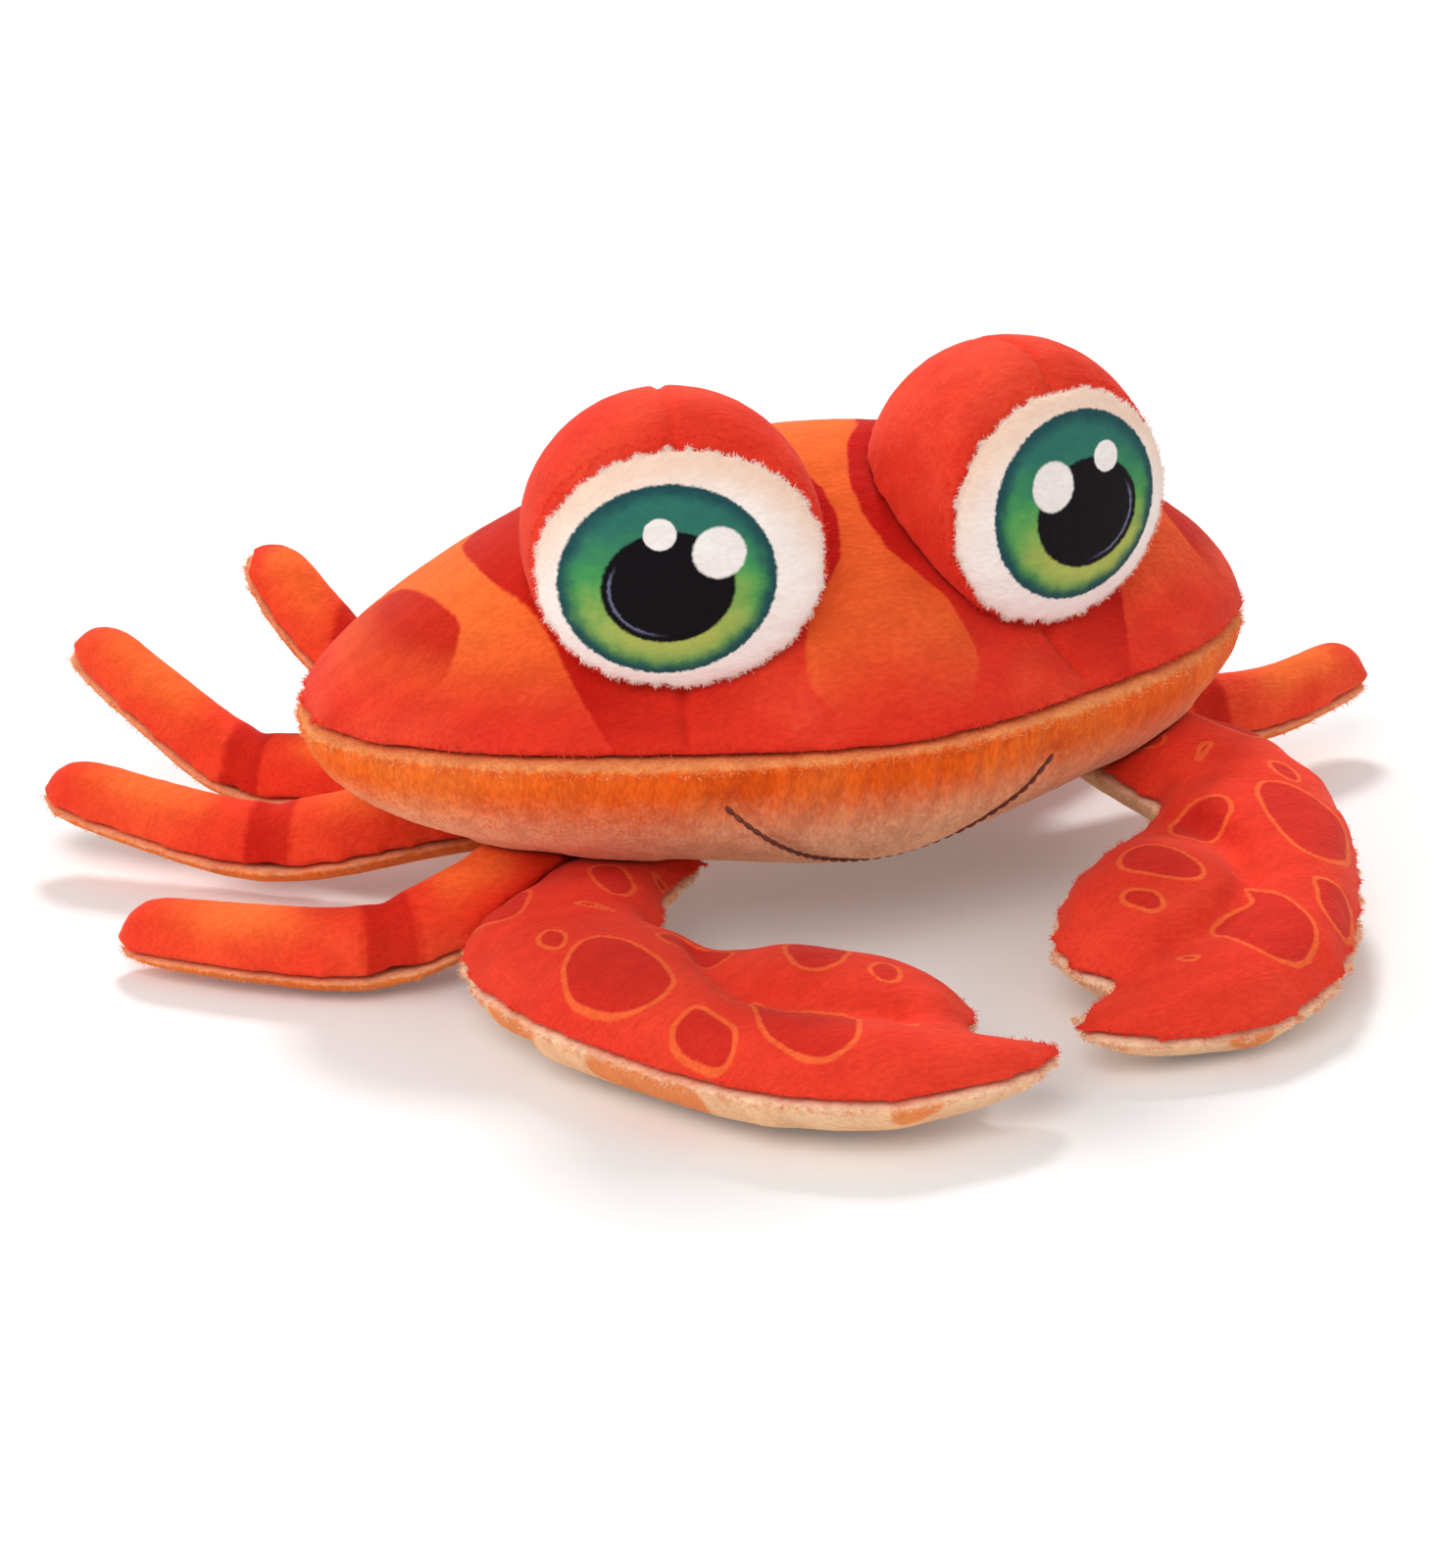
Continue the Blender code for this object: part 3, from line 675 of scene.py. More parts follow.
@dataclass
class StuffedSide:
    """One side of a sewn, stuffed piece, grown from its CAD node.

    The cloth is held where its node lies against another one, which is where the real cloth is
    sewn, and it swells between those places.
    """

    node: str
    cloth: PlushCloth
    slot: str
    sewn_to: str = ""
    voxel: float = 2.0 * MM
    start_smaller: float = 0.9 * MM
    most_swell: float = 1.9 * MM
    seam_gap: float = 0.3 * MM
    hold_fade: float = 1.6 * MM
    rounding: int = 6
    smoothing: int = 8
    ironing: int = 3
    fill: float = 0.8
    nap_height: float = 0.14 * MM
    tuft: float = 2.6 * MM
    swirl: float = 9.0 * MM
    obj: bpy.types.Object = field(default=None, repr=False)
    held: np.ndarray = field(default=None, repr=False)
    before: np.ndarray = field(default=None, repr=False)

    def cut_out(self) -> None:
        """Copies the node's shape and gives it an even net of points."""
        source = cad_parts[self.node]
        work = bmesh.new()
        work.from_mesh(source.data)
        bmesh.ops.remove_doubles(work, verts=work.verts, dist=0.02 * MM)
        mesh = bpy.data.meshes.new(f"{self.node}_cloth")
        work.to_mesh(mesh)
        work.free()
        self.obj = bpy.data.objects.new(f"{self.node}_cloth", mesh)
        bpy.context.scene.collection.objects.link(self.obj)
        remesh = self.obj.modifiers.new("Net", "REMESH")
        remesh.mode = "VOXEL"
        remesh.voxel_size = self.voxel
        self.apply(remesh)

    def apply(self, modifier: bpy.types.Modifier) -> None:
        """Makes a modifier part of the mesh."""
        bpy.context.view_layer.objects.active = self.obj
        bpy.ops.object.modifier_apply(modifier=modifier.name)

    def hold(self, neighbours: BVHTree) -> None:
        """Finds the points that are sewn to, or lie against, another piece, and eases the rest.

        Args:
            neighbours: The surfaces of all the other CAD nodes.
        """
        self.even(self.rounding)
        points = points_of(self.obj)
        gaps = np.array([neighbours.find_nearest(Vector(p), 4 * self.voxel)[3] or 1.0 for p in points])
        reach = 0.6 * self.voxel + self.seam_gap
        self.held = 1.0 - eased(gaps, reach, reach + self.hold_fade)
        self.weigh("held", self.held)
        self.weigh("free", 1.0 - self.held)
        self.even(self.smoothing, "free")

    def weigh(self, name: str, weights: np.ndarray) -> None:
        """Keeps these weights, in tenths, as a vertex group of this name.

        Args:
            name: The group's name.
            weights: One weight for each point, from 0 to 1.
        """
        group = self.obj.vertex_groups.new(name=name)
        tenths = np.round(weights * 10).astype(int)
        for step in range(1, 11):
            group.add(np.nonzero(tenths == step)[0].tolist(), step / 10, "REPLACE")

    def even(self, times: int, weights: str = "") -> None:
        """Smooths the net this many times, all over or by these weights.

        Args:
            times: How often it is smoothed.
            weights: The vertex group that says how much, or nothing.
        """
        smooth = self.obj.modifiers.new("Even", "SMOOTH")
        smooth.vertex_group = weights
        smooth.factor = 0.5
        smooth.iterations = times
        self.apply(smooth)

    def pack(self) -> None:
        """Starts a little smaller and fits the filling, for the pressure to swell the cloth."""
        points = points_of(self.obj)
        depth = (1.0 - self.held) * self.start_smaller
        move_points(self.obj, points - normals_of(self.obj) * depth[:, None])
        self.before = points_of(self.obj)
        cloth = self.obj.modifiers.new("Fill", "CLOTH")
        cloth.settings.quality = FILLING.quality
        cloth.settings.mass = FILLING.weight
        cloth.settings.tension_stiffness = FILLING.stretch
        cloth.settings.compression_stiffness = FILLING.stretch
        cloth.settings.shear_stiffness = FILLING.shear
        cloth.settings.bending_stiffness = FILLING.bend
        cloth.settings.use_pressure = True
        cloth.settings.uniform_pressure_force = FILLING.pressure
        cloth.settings.effector_weights.gravity = 0
        cloth.settings.vertex_group_mass = "held"
        cloth.collision_settings.use_collision = False
        cloth.point_cache.frame_start = 1
        cloth.point_cache.frame_end = FILLING.frames

    def settle(self) -> None:
        """Keeps the filled shape, with no point further out than the most that it may swell."""
        self.apply(self.obj.modifiers["Fill"])
        moved = points_of(self.obj) - self.before
        length = np.linalg.norm(moved, axis=1)
        LOG.info("%s swelled %.2f mm at most", self.node, length.max() / MM)
        share = np.minimum(1.0, self.most_swell * (1.0 - self.held) / np.maximum(length, 1e-9))
        move_points(self.obj, self.before + moved * share[:, None])

    def refine(self) -> None:
        """Adds one level of subdivision."""
        division = self.obj.modifiers.new("Finer", "SUBSURF")
        division.levels = division.render_levels = 1
        self.apply(division)

    def sink(self, share: np.ndarray, depth: float) -> None:
        """Pulls the cloth in by this depth where share is 1."""
        points = points_of(self.obj)
        move_points(self.obj, points - normals_of(self.obj) * (share * depth)[:, None])

    def partner(self) -> BVHTree:
        """The surface of the CAD node that this cloth is sewn to."""
        return surface_of(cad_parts[self.sewn_to])

    def seam_groove(self, path: np.ndarray, depth: float, width: float) -> None:
        """Pulls the cloth in along a sewn line."""
        away = to_path(points_of(self.obj), path)
        self.sink(np.exp(-((away / width) ** 2)), depth)

    def brush(self) -> None:
        """Leaves the nap a little uneven."""
        points = points_of(self.obj)
        tufts, swirls = unevenness(points, self.tuft, 3.0), unevenness(points, self.swirl, 8.0)
        rise = 0.6 * tufts + 0.4 * swirls
        move_points(self.obj, points + normals_of(self.obj) * (rise * self.nap_height)[:, None])

    def dress(self) -> None:
        """Gives the piece its cloth and attaches it to the root."""
        self.obj.data.polygons.foreach_set("use_smooth", [True] * len(self.obj.data.polygons))
        self.obj.data.materials.clear()
        self.obj.data.materials.append(self.cloth.material())
        self.obj.vertex_groups.clear()
        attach(self.obj, "root")
        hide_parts(self.node)
        self.obj.data.update()
        LOG.info("%s: %d faces", self.obj.name, len(self.obj.data.polygons))

    def mark(self) -> None:
        """Shapes and marks that only some pieces have."""

    def complete(self) -> None:
        """Turns the filled net into the finished piece."""
        self.even(self.ironing)
        partner = self.partner()
        gaps = [partner.find_nearest(Vector(p))[3] / MM for p in points_of(self.obj)]
        store(self.obj, "seam", np.array(gaps))
        self.refine()
        self.mark()
        self.brush()
        self.dress()


# Body


@dataclass
class Body:
    """The stuffed body: a printed dome, and a belly with a mouth sewn on it."""

    middle: Point = (0.0, 0.0)
    seam_height: float = 62 * MM
    dart_depth: float = 2.0 * MM
    dart_width: float = 1.2 * MM
    # Half widths of the stripe between the eyes, from the back to the front, in millimetres
    stripe_mm: Outline = (
        (80, 3), (66, 16), (45, 24), (25, 23), (9, 16), (0, 9), (-13, 3.6), (-21, 3.2), (-29, 6), (-34, 12.8),
        (-37, 17.8), (-41, 20.8), (-46, 21.5), (-52, 17), (-56, 8),
    )
    # Outlines at the crab's right, in millimetres from the middle of its width; mirrored at its left
    eye_patch_mm: Outline = (
        (-3.6, -13), (-3.2, -21), (-6, -29), (-12.8, -34), (-17.8, -37), (-24, -46), (-44, -54), (-64, -42),
        (-74, -12), (-77, -4), (-79.5, 3), (-80, 13), (-78, 26), (-73, 36), (-60, 46), (-38, 48), (-24, 36),
        (-18, 12), (-9, 0),
    )
    side_patch_mm: Outline = (
        (-97, 46), (-92, 34), (-91.3, 18), (-90.2, 6), (-89.2, 0), (-90.6, -4), (-96, -9), (-103, -9),
        (-109.5, -3), (-111, 5), (-110, 19), (-106.5, 31), (-103, 43),
    )
    left_patch_out_mm: float = 7.0
    # Between which places each printed area fades, from none to all of it; the glow's height range is painted
    # light, which makes the dome lighter higher up
    stripe_front_mm: Point = (-57, -38)
    stripe_pale_mm: Point = (-50, 10)
    eye_patch_front_mm: Point = (-50, -24)
    side_patch_height_mm: Point = (74, 84)
    glow_outer_mm: Point = (34, 66)
    glow_behind_mm: Point = (20, 46)
    painted_light_height_mm: Point = (64, 92)
    # Sewn lines, in millimetres from the middle of the width
    dart_right_mm: Path = ((-48.0, -34.3, 76), (-50.1, -40.2, 69), (-51.4, -47.7, 62))
    dart_left_mm: Path = ((44.7, -34.9, 77.6), (49.0, -39.9, 70.8), (51.5, -41.8, 67.9), (52.4, -44.6, 65.0))
    belly_seam_mm: Path = (
        (-0.5, -58.7, 61), (-1.5, -57.5, 54), (-3.0, -53.5, 45), (-5.0, -44.0, 34), (-6.0, -30.0, 26),
        (-6.0, 0.0, 21),
    )
    # The mouth: half its width, how far its corners lie under the seam, and how far it dips
    mouth_half_mm: float = 42.0
    mouth_drop_mm: float = 12.5
    mouth_dip_mm: float = 21.5
    mouth_points: int = 57
    # How deep and how wide the cloth sinks, and how deep it ripples under the lip
    seam_sink: Point = (1.1 * MM, 1.2 * MM)
    mouth_sink: Point = (1.6 * MM, 2.4 * MM)
    corner_sink: Point = (2.4 * MM, 7.0 * MM)
    ripple_depth: float = 1.5 * MM
    sides: list[StuffedSide] = field(default_factory=list)

    def __post_init__(self) -> None:
        """Finds the middle of the body and cuts out its two sides."""
        low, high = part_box("body_top")
        self.middle = ((low[0] + high[0]) / 2, (low[1] + high[1]) / 2 - 18.5 * MM)
        self.sides = [
            StuffedSide("body_top", BODY_CLOTH, "body_cloth", "body_belly", voxel=2.3 * MM, smoothing=14),
            StuffedSide("body_belly", BELLY_CLOTH, "belly_cloth", "body_top", voxel=2.3 * MM, smoothing=14),
        ]
        self.sides[0].mark = self.mark_dome
        self.sides[1].mark = self.mark_belly

    def piles(self) -> list[SeamPile]:
        """The pile along the seam between dome and belly.

        Returns:
            The pile of each side.
        """
        return [
            SeamPile(self.sides[1], LIP_FIBRE, 5200, length=1.1 * MM),
            SeamPile(self.sides[0], RED_FIBRE, 2600, length=1.1 * MM),
        ]

    def plan(self, points: np.ndarray) -> np.ndarray:
        """Each point seen from above, in millimetres from the middle of the body."""
        return (points[:, :2] - np.array(self.middle)) / MM

    def placed(self, path_mm: Path) -> np.ndarray:
        """A path that is given in millimetres from the middle, in its place."""
        return np.array(path_mm) * MM + np.array([*self.middle, 0.0])

    def mark_dome(self) -> None:
        """Sinks the two darts under the eyes, marks the printed areas, and marks the glow, which is print with
        painted light and shade.
        """
        side = self.sides[0]
        darts = [self.placed(path) for path in (self.dart_right_mm, self.dart_left_mm)]
        for path in darts:
            side.seam_groove(path, self.dart_depth, self.dart_width)
        points = points_of(side.obj)
        store(side.obj, "dart", np.min([to_path(points, path) for path in darts], axis=0) / MM)
        plan = self.plan(points)
        height = points[:, 2] / MM
        mirrored = np.column_stack([-np.abs(plan[:, 0]), plan[:, 1]])
        along, half = np.array(self.stripe_mm[::-1]).T
        inner = np.abs(plan[:, 0]) - np.interp(plan[:, 1], along, half)
        store(side.obj, "stripe", inner * 0.8)
        pale = 0.62 + 0.38 * eased(plan[:, 1], *self.stripe_pale_mm)
        store(side.obj, "stripe_fade", eased(plan[:, 1], *self.stripe_front_mm) * pale)
        store(side.obj, "eye_patch", to_outline(mirrored, smooth_outline(self.eye_patch_mm)))
        store(side.obj, "eye_patch_fade", eased(plan[:, 1], *self.eye_patch_front_mm))
        moved = mirrored + np.outer(plan[:, 0] > 0, (self.left_patch_out_mm, 0.0))
        store(side.obj, "side_patch", to_outline(moved, smooth_outline(self.side_patch_mm)))
        store(side.obj, "side_patch_fade", 0.15 + 0.85 * eased(height, *self.side_patch_height_mm))
        outer = eased(np.abs(plan[:, 0]), *self.glow_outer_mm)
        behind = eased(plan[:, 1], *self.glow_behind_mm)
        # The glow is the printed orange field at the outer sides and back, with painted light: it grows with
        # height, so the dome is lighter higher up
        glow = np.maximum(outer, behind) * eased(height, *self.painted_light_height_mm)
        # Less of it at the crab's left front: painted shade on the side away from the key lamp
        glow *= 1 - 0.5 * eased(plan[:, 0], 20, 70) * eased(-plan[:, 1], -45, -5)
        store(side.obj, "glow", glow + 0.12 * unevenness(points, 22 * MM, 5.0) * glow)

    def mouth_line(self) -> np.ndarray:
        """The mouth's line from above the belly cloth, across the front.

        Returns:
            Points in millimetres from the middle, in front of the belly.
        """
        across = np.linspace(-self.mouth_half_mm, self.mouth_half_mm, self.mouth_points)
        drop = self.mouth_drop_mm + self.mouth_dip_mm * (1 - (across / self.mouth_half_mm) ** 2)
        return np.column_stack([across, np.full(self.mouth_points, -60.0), self.seam_height / MM - drop])

    def on_belly(self, line: np.ndarray) -> np.ndarray:
        """The line laid on the belly cloth, in metres.

        Args:
            line: Points in millimetres from the middle, in front of the belly.

        Returns:
            The points where the cloth is met on the way back.
        """
        belly = surface_of(self.sides[1].obj)
        found = []
        for point in self.placed(tuple(map(tuple, line))):
            start = Vector(point) - Vector((0, 60 * MM, 0))
            hit = belly.ray_cast(start, Vector((0, 1, 0)))[0]
            found.append(hit if hit is not None else Vector(point))
        return np.array([tuple(p) for p in found])

    def mark_belly(self) -> None:
        """Sinks the seam, the mouth with its corners, and the gathers under the lip."""
        side = self.sides[1]
        side.seam_groove(self.placed(self.belly_seam_mm), *self.seam_sink)
        mouth = self.on_belly(self.mouth_line())
        side.seam_groove(mouth, *self.mouth_sink)
        for corner in (mouth[0], mouth[-1]):
            away = np.linalg.norm(points_of(side.obj) - corner, axis=1)
            side.sink(np.exp(-((away / self.corner_sink[1]) ** 2)), self.corner_sink[0])
        points = points_of(side.obj)
        plan = self.plan(points)
        drop = (self.seam_height - points[:, 2]) / MM
        ripple = np.sin(plan[:, 0] * 1.05 + 1.2 * unevenness(points, 15 * MM, 2.0))
        below = eased(drop, 0.8, 5) * eased(-drop, -26, -10) * eased(-plan[:, 1], 38, 52)
        side.sink(0.5 * (1 + ripple) * below * eased(-np.abs(plan[:, 0] + 6), -52, -34), self.ripple_depth)
        store(side.obj, "drop", drop)


# Eyes


@dataclass
class Eye:
    """One eye: a lid of red cloth round a printed front."""

    side: Side
    print_mm: dict[str, Spot]
    turn_out: float = math.radians(15)
    tilt_up: float = math.radians(4)
    ground: Colour = (0.95, 0.89, 0.84)
    blush: Colour = (0.84, 0.5, 0.42)
    # The lid's seam: from which height it starts and is whole, its width and its depth
    lid_seam_mm: Point = (10, 24)
    lid_seam_width_mm: float = 1.2
    lid_seam_depth: float = 1.1 * MM
    sides: list[StuffedSide] = field(default_factory=list)

    def __post_init__(self) -> None:
        """Cuts out the lid and the front."""
        name = f"eye_{self.side.word}"
        inwards = self.side.value
        prints = {key: (inwards * v[0], *v[1:]) for key, v in self.print_mm.items()}
        cloth = EyeCloth(
            f"printed_eye_plush_{self.side.word}",
            self.ground,
            self.blush,
            nap=0.07,
            sheen=0.08,
            sheen_tint=(1.0, 0.95, 0.9),
            outwards=-inwards,
            **prints,
        )
        self.sides = [
            StuffedSide(
                f"{name}_lid", LID_CLOTH, "eyelid_cloth", f"{name}_front",
                voxel=1.8 * MM, rounding=6, smoothing=8, ironing=5,
            ),
            StuffedSide(
                f"{name}_front", cloth, "eye_cloth", f"{name}_lid",
                voxel=1.5 * MM, rounding=4, smoothing=6, ironing=8, start_smaller=0.0, most_swell=1.9 * MM,
            ),
        ]
        self.sides[0].mark = self.mark_lid
        self.sides[1].mark = self.mark_front

    def piles(self) -> list[SeamPile]:
        """The pile round the edge of the front and of the lid.

        Returns:
            The pile of each side.
        """
        return [
            SeamPile(self.sides[1], WHITE_FIBRE, 5200, length=0.7 * MM, thickness=0.08 * MM),
            SeamPile(self.sides[0], RED_FIBRE, 2000, length=0.8 * MM),
        ]

    def frame(self) -> Matrix:
        """The eye's own frame: +Y out of its front, +Z up, from the node's own box.

        Returns:
            The frame as a matrix.
        """
        points = points_of(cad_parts[f"eye_{self.side.word}_front"])
        turn = Euler((self.tilt_up, 0, math.pi + self.side.value * self.turn_out), "XYZ").to_matrix()
        local = points @ np.array(turn)
        centre = np.array(turn) @ ((local.min(axis=0) + local.max(axis=0)) / 2)
        return Matrix.Translation(Vector(centre)) @ turn.to_4x4()

    def local(self, points: np.ndarray) -> np.ndarray:
        """Points in the eye's own frame, in millimetres, with X towards the crab's right."""
        inverse = np.array(self.frame().inverted())
        return (points @ inverse[:3, :3].T + inverse[:3, 3]) / MM

    def mark_lid(self) -> None:
        """Sinks the seam that runs over the lid from the top of the front."""
        lid = self.sides[0]
        local = self.local(points_of(lid.obj))
        low, high = self.lid_seam_mm
        over = np.where((local[:, 2] > low) & (local[:, 1] > -34), np.abs(local[:, 0] - 1.0), 99.0)
        share = np.exp(-((over / self.lid_seam_width_mm) ** 2)) * eased(local[:, 2], low, high)
        lid.sink(share, self.lid_seam_depth)

    def mark_front(self) -> None:
        """Gives the front its own map, on which its eye is printed."""
        front = self.sides[1]
        mesh = front.obj.data
        local = self.local(points_of(front.obj))
        layer = mesh.uv_layers.new(name=front.cloth.map_name)
        loops = np.empty(len(mesh.loops), int)
        mesh.loops.foreach_get("vertex_index", loops)
        flat = local[:, [0, 2]] / front.cloth.map_span_mm + 0.5
        layer.data.foreach_set("uv", flat[loops].ravel())


# Legs


@dataclass
class Leg:
    """One bent leg: printed top cloth over a narrow orange underside."""

    side: Side
    number: int
    root_mm: Point
    path_mm: Path
    knee_mm: float
    middle: Point
    band_mm: float = 6.5
    crease_mm: float = 3.5
    crease_depth: float = 0.9 * MM
    sides: list[StuffedSide] = field(default_factory=list)

    def __post_init__(self) -> None:
        """Cuts out the two sides."""
        name = f"leg_{self.side.word}_{self.number}"
        self.sides = [
            StuffedSide(f"{name}_top", LEG_CLOTH, "leg_cloth", f"{name}_under", voxel=1.9 * MM, smoothing=7),
            StuffedSide(
                f"{name}_under", LEG_UNDER_CLOTH, "leg_under_cloth", f"{name}_top",
                voxel=1.9 * MM, smoothing=5, most_swell=1.4 * MM,
            ),
        ]
        self.sides[0].mark = self.mark_top

    def piles(self) -> list[SeamPile]:
        """The pile along both edges of the underside."""
        return [SeamPile(self.sides[1], ORANGE_FIBRE, 900, length=1.0 * MM)]

    def path(self) -> np.ndarray:
        """The leg's path seen from above, in metres, from its root to its tip.

        Returns:
            The points of the smooth path, one a row.
        """
        root = np.array(self.root_mm) * MM + np.array(self.middle)
        plan = [root] + [root + np.array(p[:2]) * MM for p in self.path_mm]
        return smooth_outline(tuple(map(tuple, plan)), 8, closed=False)

    def along(self, points: np.ndarray) -> tuple[np.ndarray, np.ndarray]:
        """How far each point is along the leg and how far beside its path, in millimetres.

        Args:
            points: The points, one a row, in metres.

        Returns:
            The two distances, each with one number for a point.
        """
        path = self.path()
        best, found, run = np.full(len(points), 1e9), np.zeros(len(points)), 0.0
        for a, b in zip(path, path[1:]):
            line = b - a
            share = np.clip((points[:, :2] - a) @ line / max(line @ line, 1e-12), 0, 1)
            away = np.linalg.norm(points[:, :2] - a - share[:, None] * line, axis=1)
            nearer = away < best
            best = np.where(nearer, away, best)
            found = np.where(nearer, run + share * np.linalg.norm(line), found)
            run += np.linalg.norm(line)
        return found / MM, best / MM

    def mark_top(self) -> None:
        """Marks the band across the knee and the orange either side of it, which is print with a painted
        highlight along the top of the leg.
        """
        top = self.sides[0]
        points = points_of(top.obj)
        along, beside = self.along(points)
        whole = along.max()
        past_knee = (along - self.knee_mm) / (whole - self.knee_mm)
        before_knee = along / self.knee_mm
        lit = np.where(
            along > self.knee_mm,
            eased(past_knee, 0.12, 0.42) * eased(-past_knee, -0.95, -0.6),
            eased(before_knee, 0.25, 0.6) * eased(-before_knee, -0.93, -0.7),
        )
        # Painted highlight: the orange fades towards the leg's sides, so the top of the leg is lighter
        lit = lit * eased(-beside, -10.5, -4.0)
        store(top.obj, "glow", lit * (0.85 + 0.3 * unevenness(points, 12 * MM, 4.0)))
        store(top.obj, "band", np.exp(-(((along - self.knee_mm) / self.band_mm) ** 2)))
        top.sink(np.exp(-(((along - self.knee_mm) / self.crease_mm) ** 2)), self.crease_depth)


# Claws


@dataclass
class Claw:
    """One curled claw: red cloth with printed rings over a pale orange underside."""

    side: Side
    middle: Point
    root_mm: Point = (-32.0, -4.0)
    turn: float = math.radians(-4)
    slope: float = math.radians(10)
    lift_mm: float = 17.6
    shift_mm: Point = (22.0, 13.5)
    # Outlines of the printed rings seen from above, on the right claw
    rings_mm: tuple[Outline, ...] = (
        ((-80.1, -16.7), (-84.4, -26.6), (-89.5, -31.0), (-93.8, -26.0), (-93.4, -19.0), (-86.5, -14.0)),
        ((-85.6, -53.4), (-88.0, -55.8), (-89.9, -52.2), (-88.9, -47.8), (-86.1, -47.0), (-85.0, -50.0)),
        (
            (-77.4, -58.4), (-74.3, -63.8), (-72.4, -74.3), (-72.7, -83.7), (-75.2, -88.0), (-80.0, -89.8),
            (-85.8, -86.8), (-89.6, -81.0), (-92.2, -74.2), (-90.5, -66.8), (-85.8, -59.8), (-81.2, -57.2),
        ),
        (
            (-77.6, -98.8), (-72.8, -97.8), (-71.0, -101.5), (-69.2, -107.8), (-70.1, -111.3), (-72.1, -113.1),
            (-74.7, -111.9), (-77.8, -107.0), (-79.2, -102.4), (-79.0, -100.0),
        ),
        (
            (-57.7, -94.2), (-55.9, -100.0), (-50.6, -102.1), (-44.8, -105.3), (-41.2, -109.0), (-44.7, -119.6),
            (-48.6, -124.2), (-54.2, -125.0), (-58.9, -121.9), (-62.1, -117.5), (-62.9, -111.1),
        ),
        (
            (-42.6, -79.2), (-38.1, -75.0), (-32.5, -77.0), (-30.0, -83.7), (-34.1, -90.3), (-39.7, -94.4),
            (-44.2, -93.9), (-45.3, -88.8),
        ),
        ((-24.5, -98.0), (-27.5, -102.4), (-30.6, -101.6), (-30.4, -97.0), (-26.5, -93.9), (-24.4, -95.4)),
        (
            (-65.0, -60.0), (-58.5, -58.5), (-52.5, -62.5), (-51.0, -68.0), (-56.1, -71.4), (-61.3, -69.8),
            (-65.3, -65.7),
        ),
        ((-63.8, -17.1), (-58.4, -19.0), (-57.3, -24.8), (-60.1, -30.0), (-64.3, -30.9), (-65.3, -24.4)),
        ((-74.6, -35.4), (-71.6, -37.2), (-69.0, -41.2), (-71.9, -38.2)),
        ((-46.2, -19.4), (-47.4, -20.8), (-48.9, -20.3), (-47.8, -18.6)),
        ((-29.2, -116.4), (-31.0, -118.4), (-32.0, -117.6), (-30.6, -115.8)),
    )
    fold_mm: Outline = ((-57, -62), (-60, -78), (-58.5, -92), (-52, -100), (-44, -106), (-30, -112))
    line_mm: float = 0.5
    fold_width_mm: float = 3.6
    fold_depth: float = 2.6 * MM
    blotches_mm: tuple[Outline, ...] = (
        ((-92.0, -82.0), (-85.0, -86.0), (-77.0, -99.0), (-73.0, -107.0), (-80.0, -109.0), (-90.0, -96.0)),
        ((-44.0, -134.5), (-38.0, -134.0), (-33.0, -137.0), (-37.0, -140.5), (-44.0, -140.0)),
        ((-103.0, -50.0), (-97.0, -53.0), (-97.0, -63.0), (-100.0, -69.0), (-106.0, -60.0)),
    )
    sides: list[StuffedSide] = field(default_factory=list)

    def __post_init__(self) -> None:
        """Cuts out the two sides."""
        name = f"claw_{self.side.word}"
        self.sides = [
            StuffedSide(
                f"{name}_top", CLAW_CLOTH, "claw_cloth", f"{name}_under",
                voxel=2.0 * MM, smoothing=8, ironing=6, most_swell=1.2 * MM,
            ),
            StuffedSide(
                f"{name}_under", CLAW_UNDER_CLOTH, "claw_under_cloth", f"{name}_top",
                voxel=2.0 * MM, rounding=4, smoothing=3, ironing=4, start_smaller=0.2 * MM, most_swell=2.4 * MM,
            ),
        ]
        self.sides[0].mark = self.mark_top
        self.sides[1].mark = self.mark_under

    def piles(self) -> list[SeamPile]:
        """The pile all along the edge of the claw.

        Returns:
            The pile of each side.
        """
        return [
            SeamPile(self.sides[1], CREAM_FIBRE, 3600, length=1.1 * MM),
            SeamPile(self.sides[0], RED_FIBRE, 1800, length=0.8 * MM),
        ]

    def flat(self, points: np.ndarray) -> np.ndarray:
        """Points seen from above in the right claw's place, in millimetres from the middle.

        Args:
            points: The points, one a row, in metres.

        Returns:
            Their X and Y, one a row.
        """
        place = (points - np.array([*self.middle, 0.0])) / MM
        if self.side is Side.RIGHT:
            return place[:, :2]
        pivot = np.array([-self.root_mm[0], self.root_mm[1], 0.0])
        away = place - pivot - np.array([*self.shift_mm, self.lift_mm])
        turn = np.array(Euler((self.slope, 0, 0)).to_matrix() @ Euler((0, 0, self.turn)).to_matrix())
        return ((away @ turn + pivot) * np.array([-1.0, 1.0, 1.0]))[:, :2]

    def nearest(self, flat: np.ndarray, rings: tuple[Outline, ...]) -> np.ndarray:
        """Distance to the nearest of these printed outlines, less than 0 inside one."""
        return np.min([to_outline(flat, smooth_outline(ring, 4)) for ring in rings], axis=0)

    def mark_top(self) -> None:
        """Deepens the fold between the two fingers and marks the printed rings."""
        top = self.sides[0]
        fold = to_path(self.flat(points_of(top.obj)), np.array(self.fold_mm, float))
        top.sink(np.exp(-((fold / self.fold_width_mm) ** 2)), self.fold_depth)
        points = points_of(top.obj)
        uneven = 0.35 * unevenness(points, 5 * MM, 1.0)
        ring = self.nearest(self.flat(points), self.rings_mm) + uneven
        store(top.obj, "ring", ring)
        store(top.obj, "line", np.abs(ring - self.line_mm))

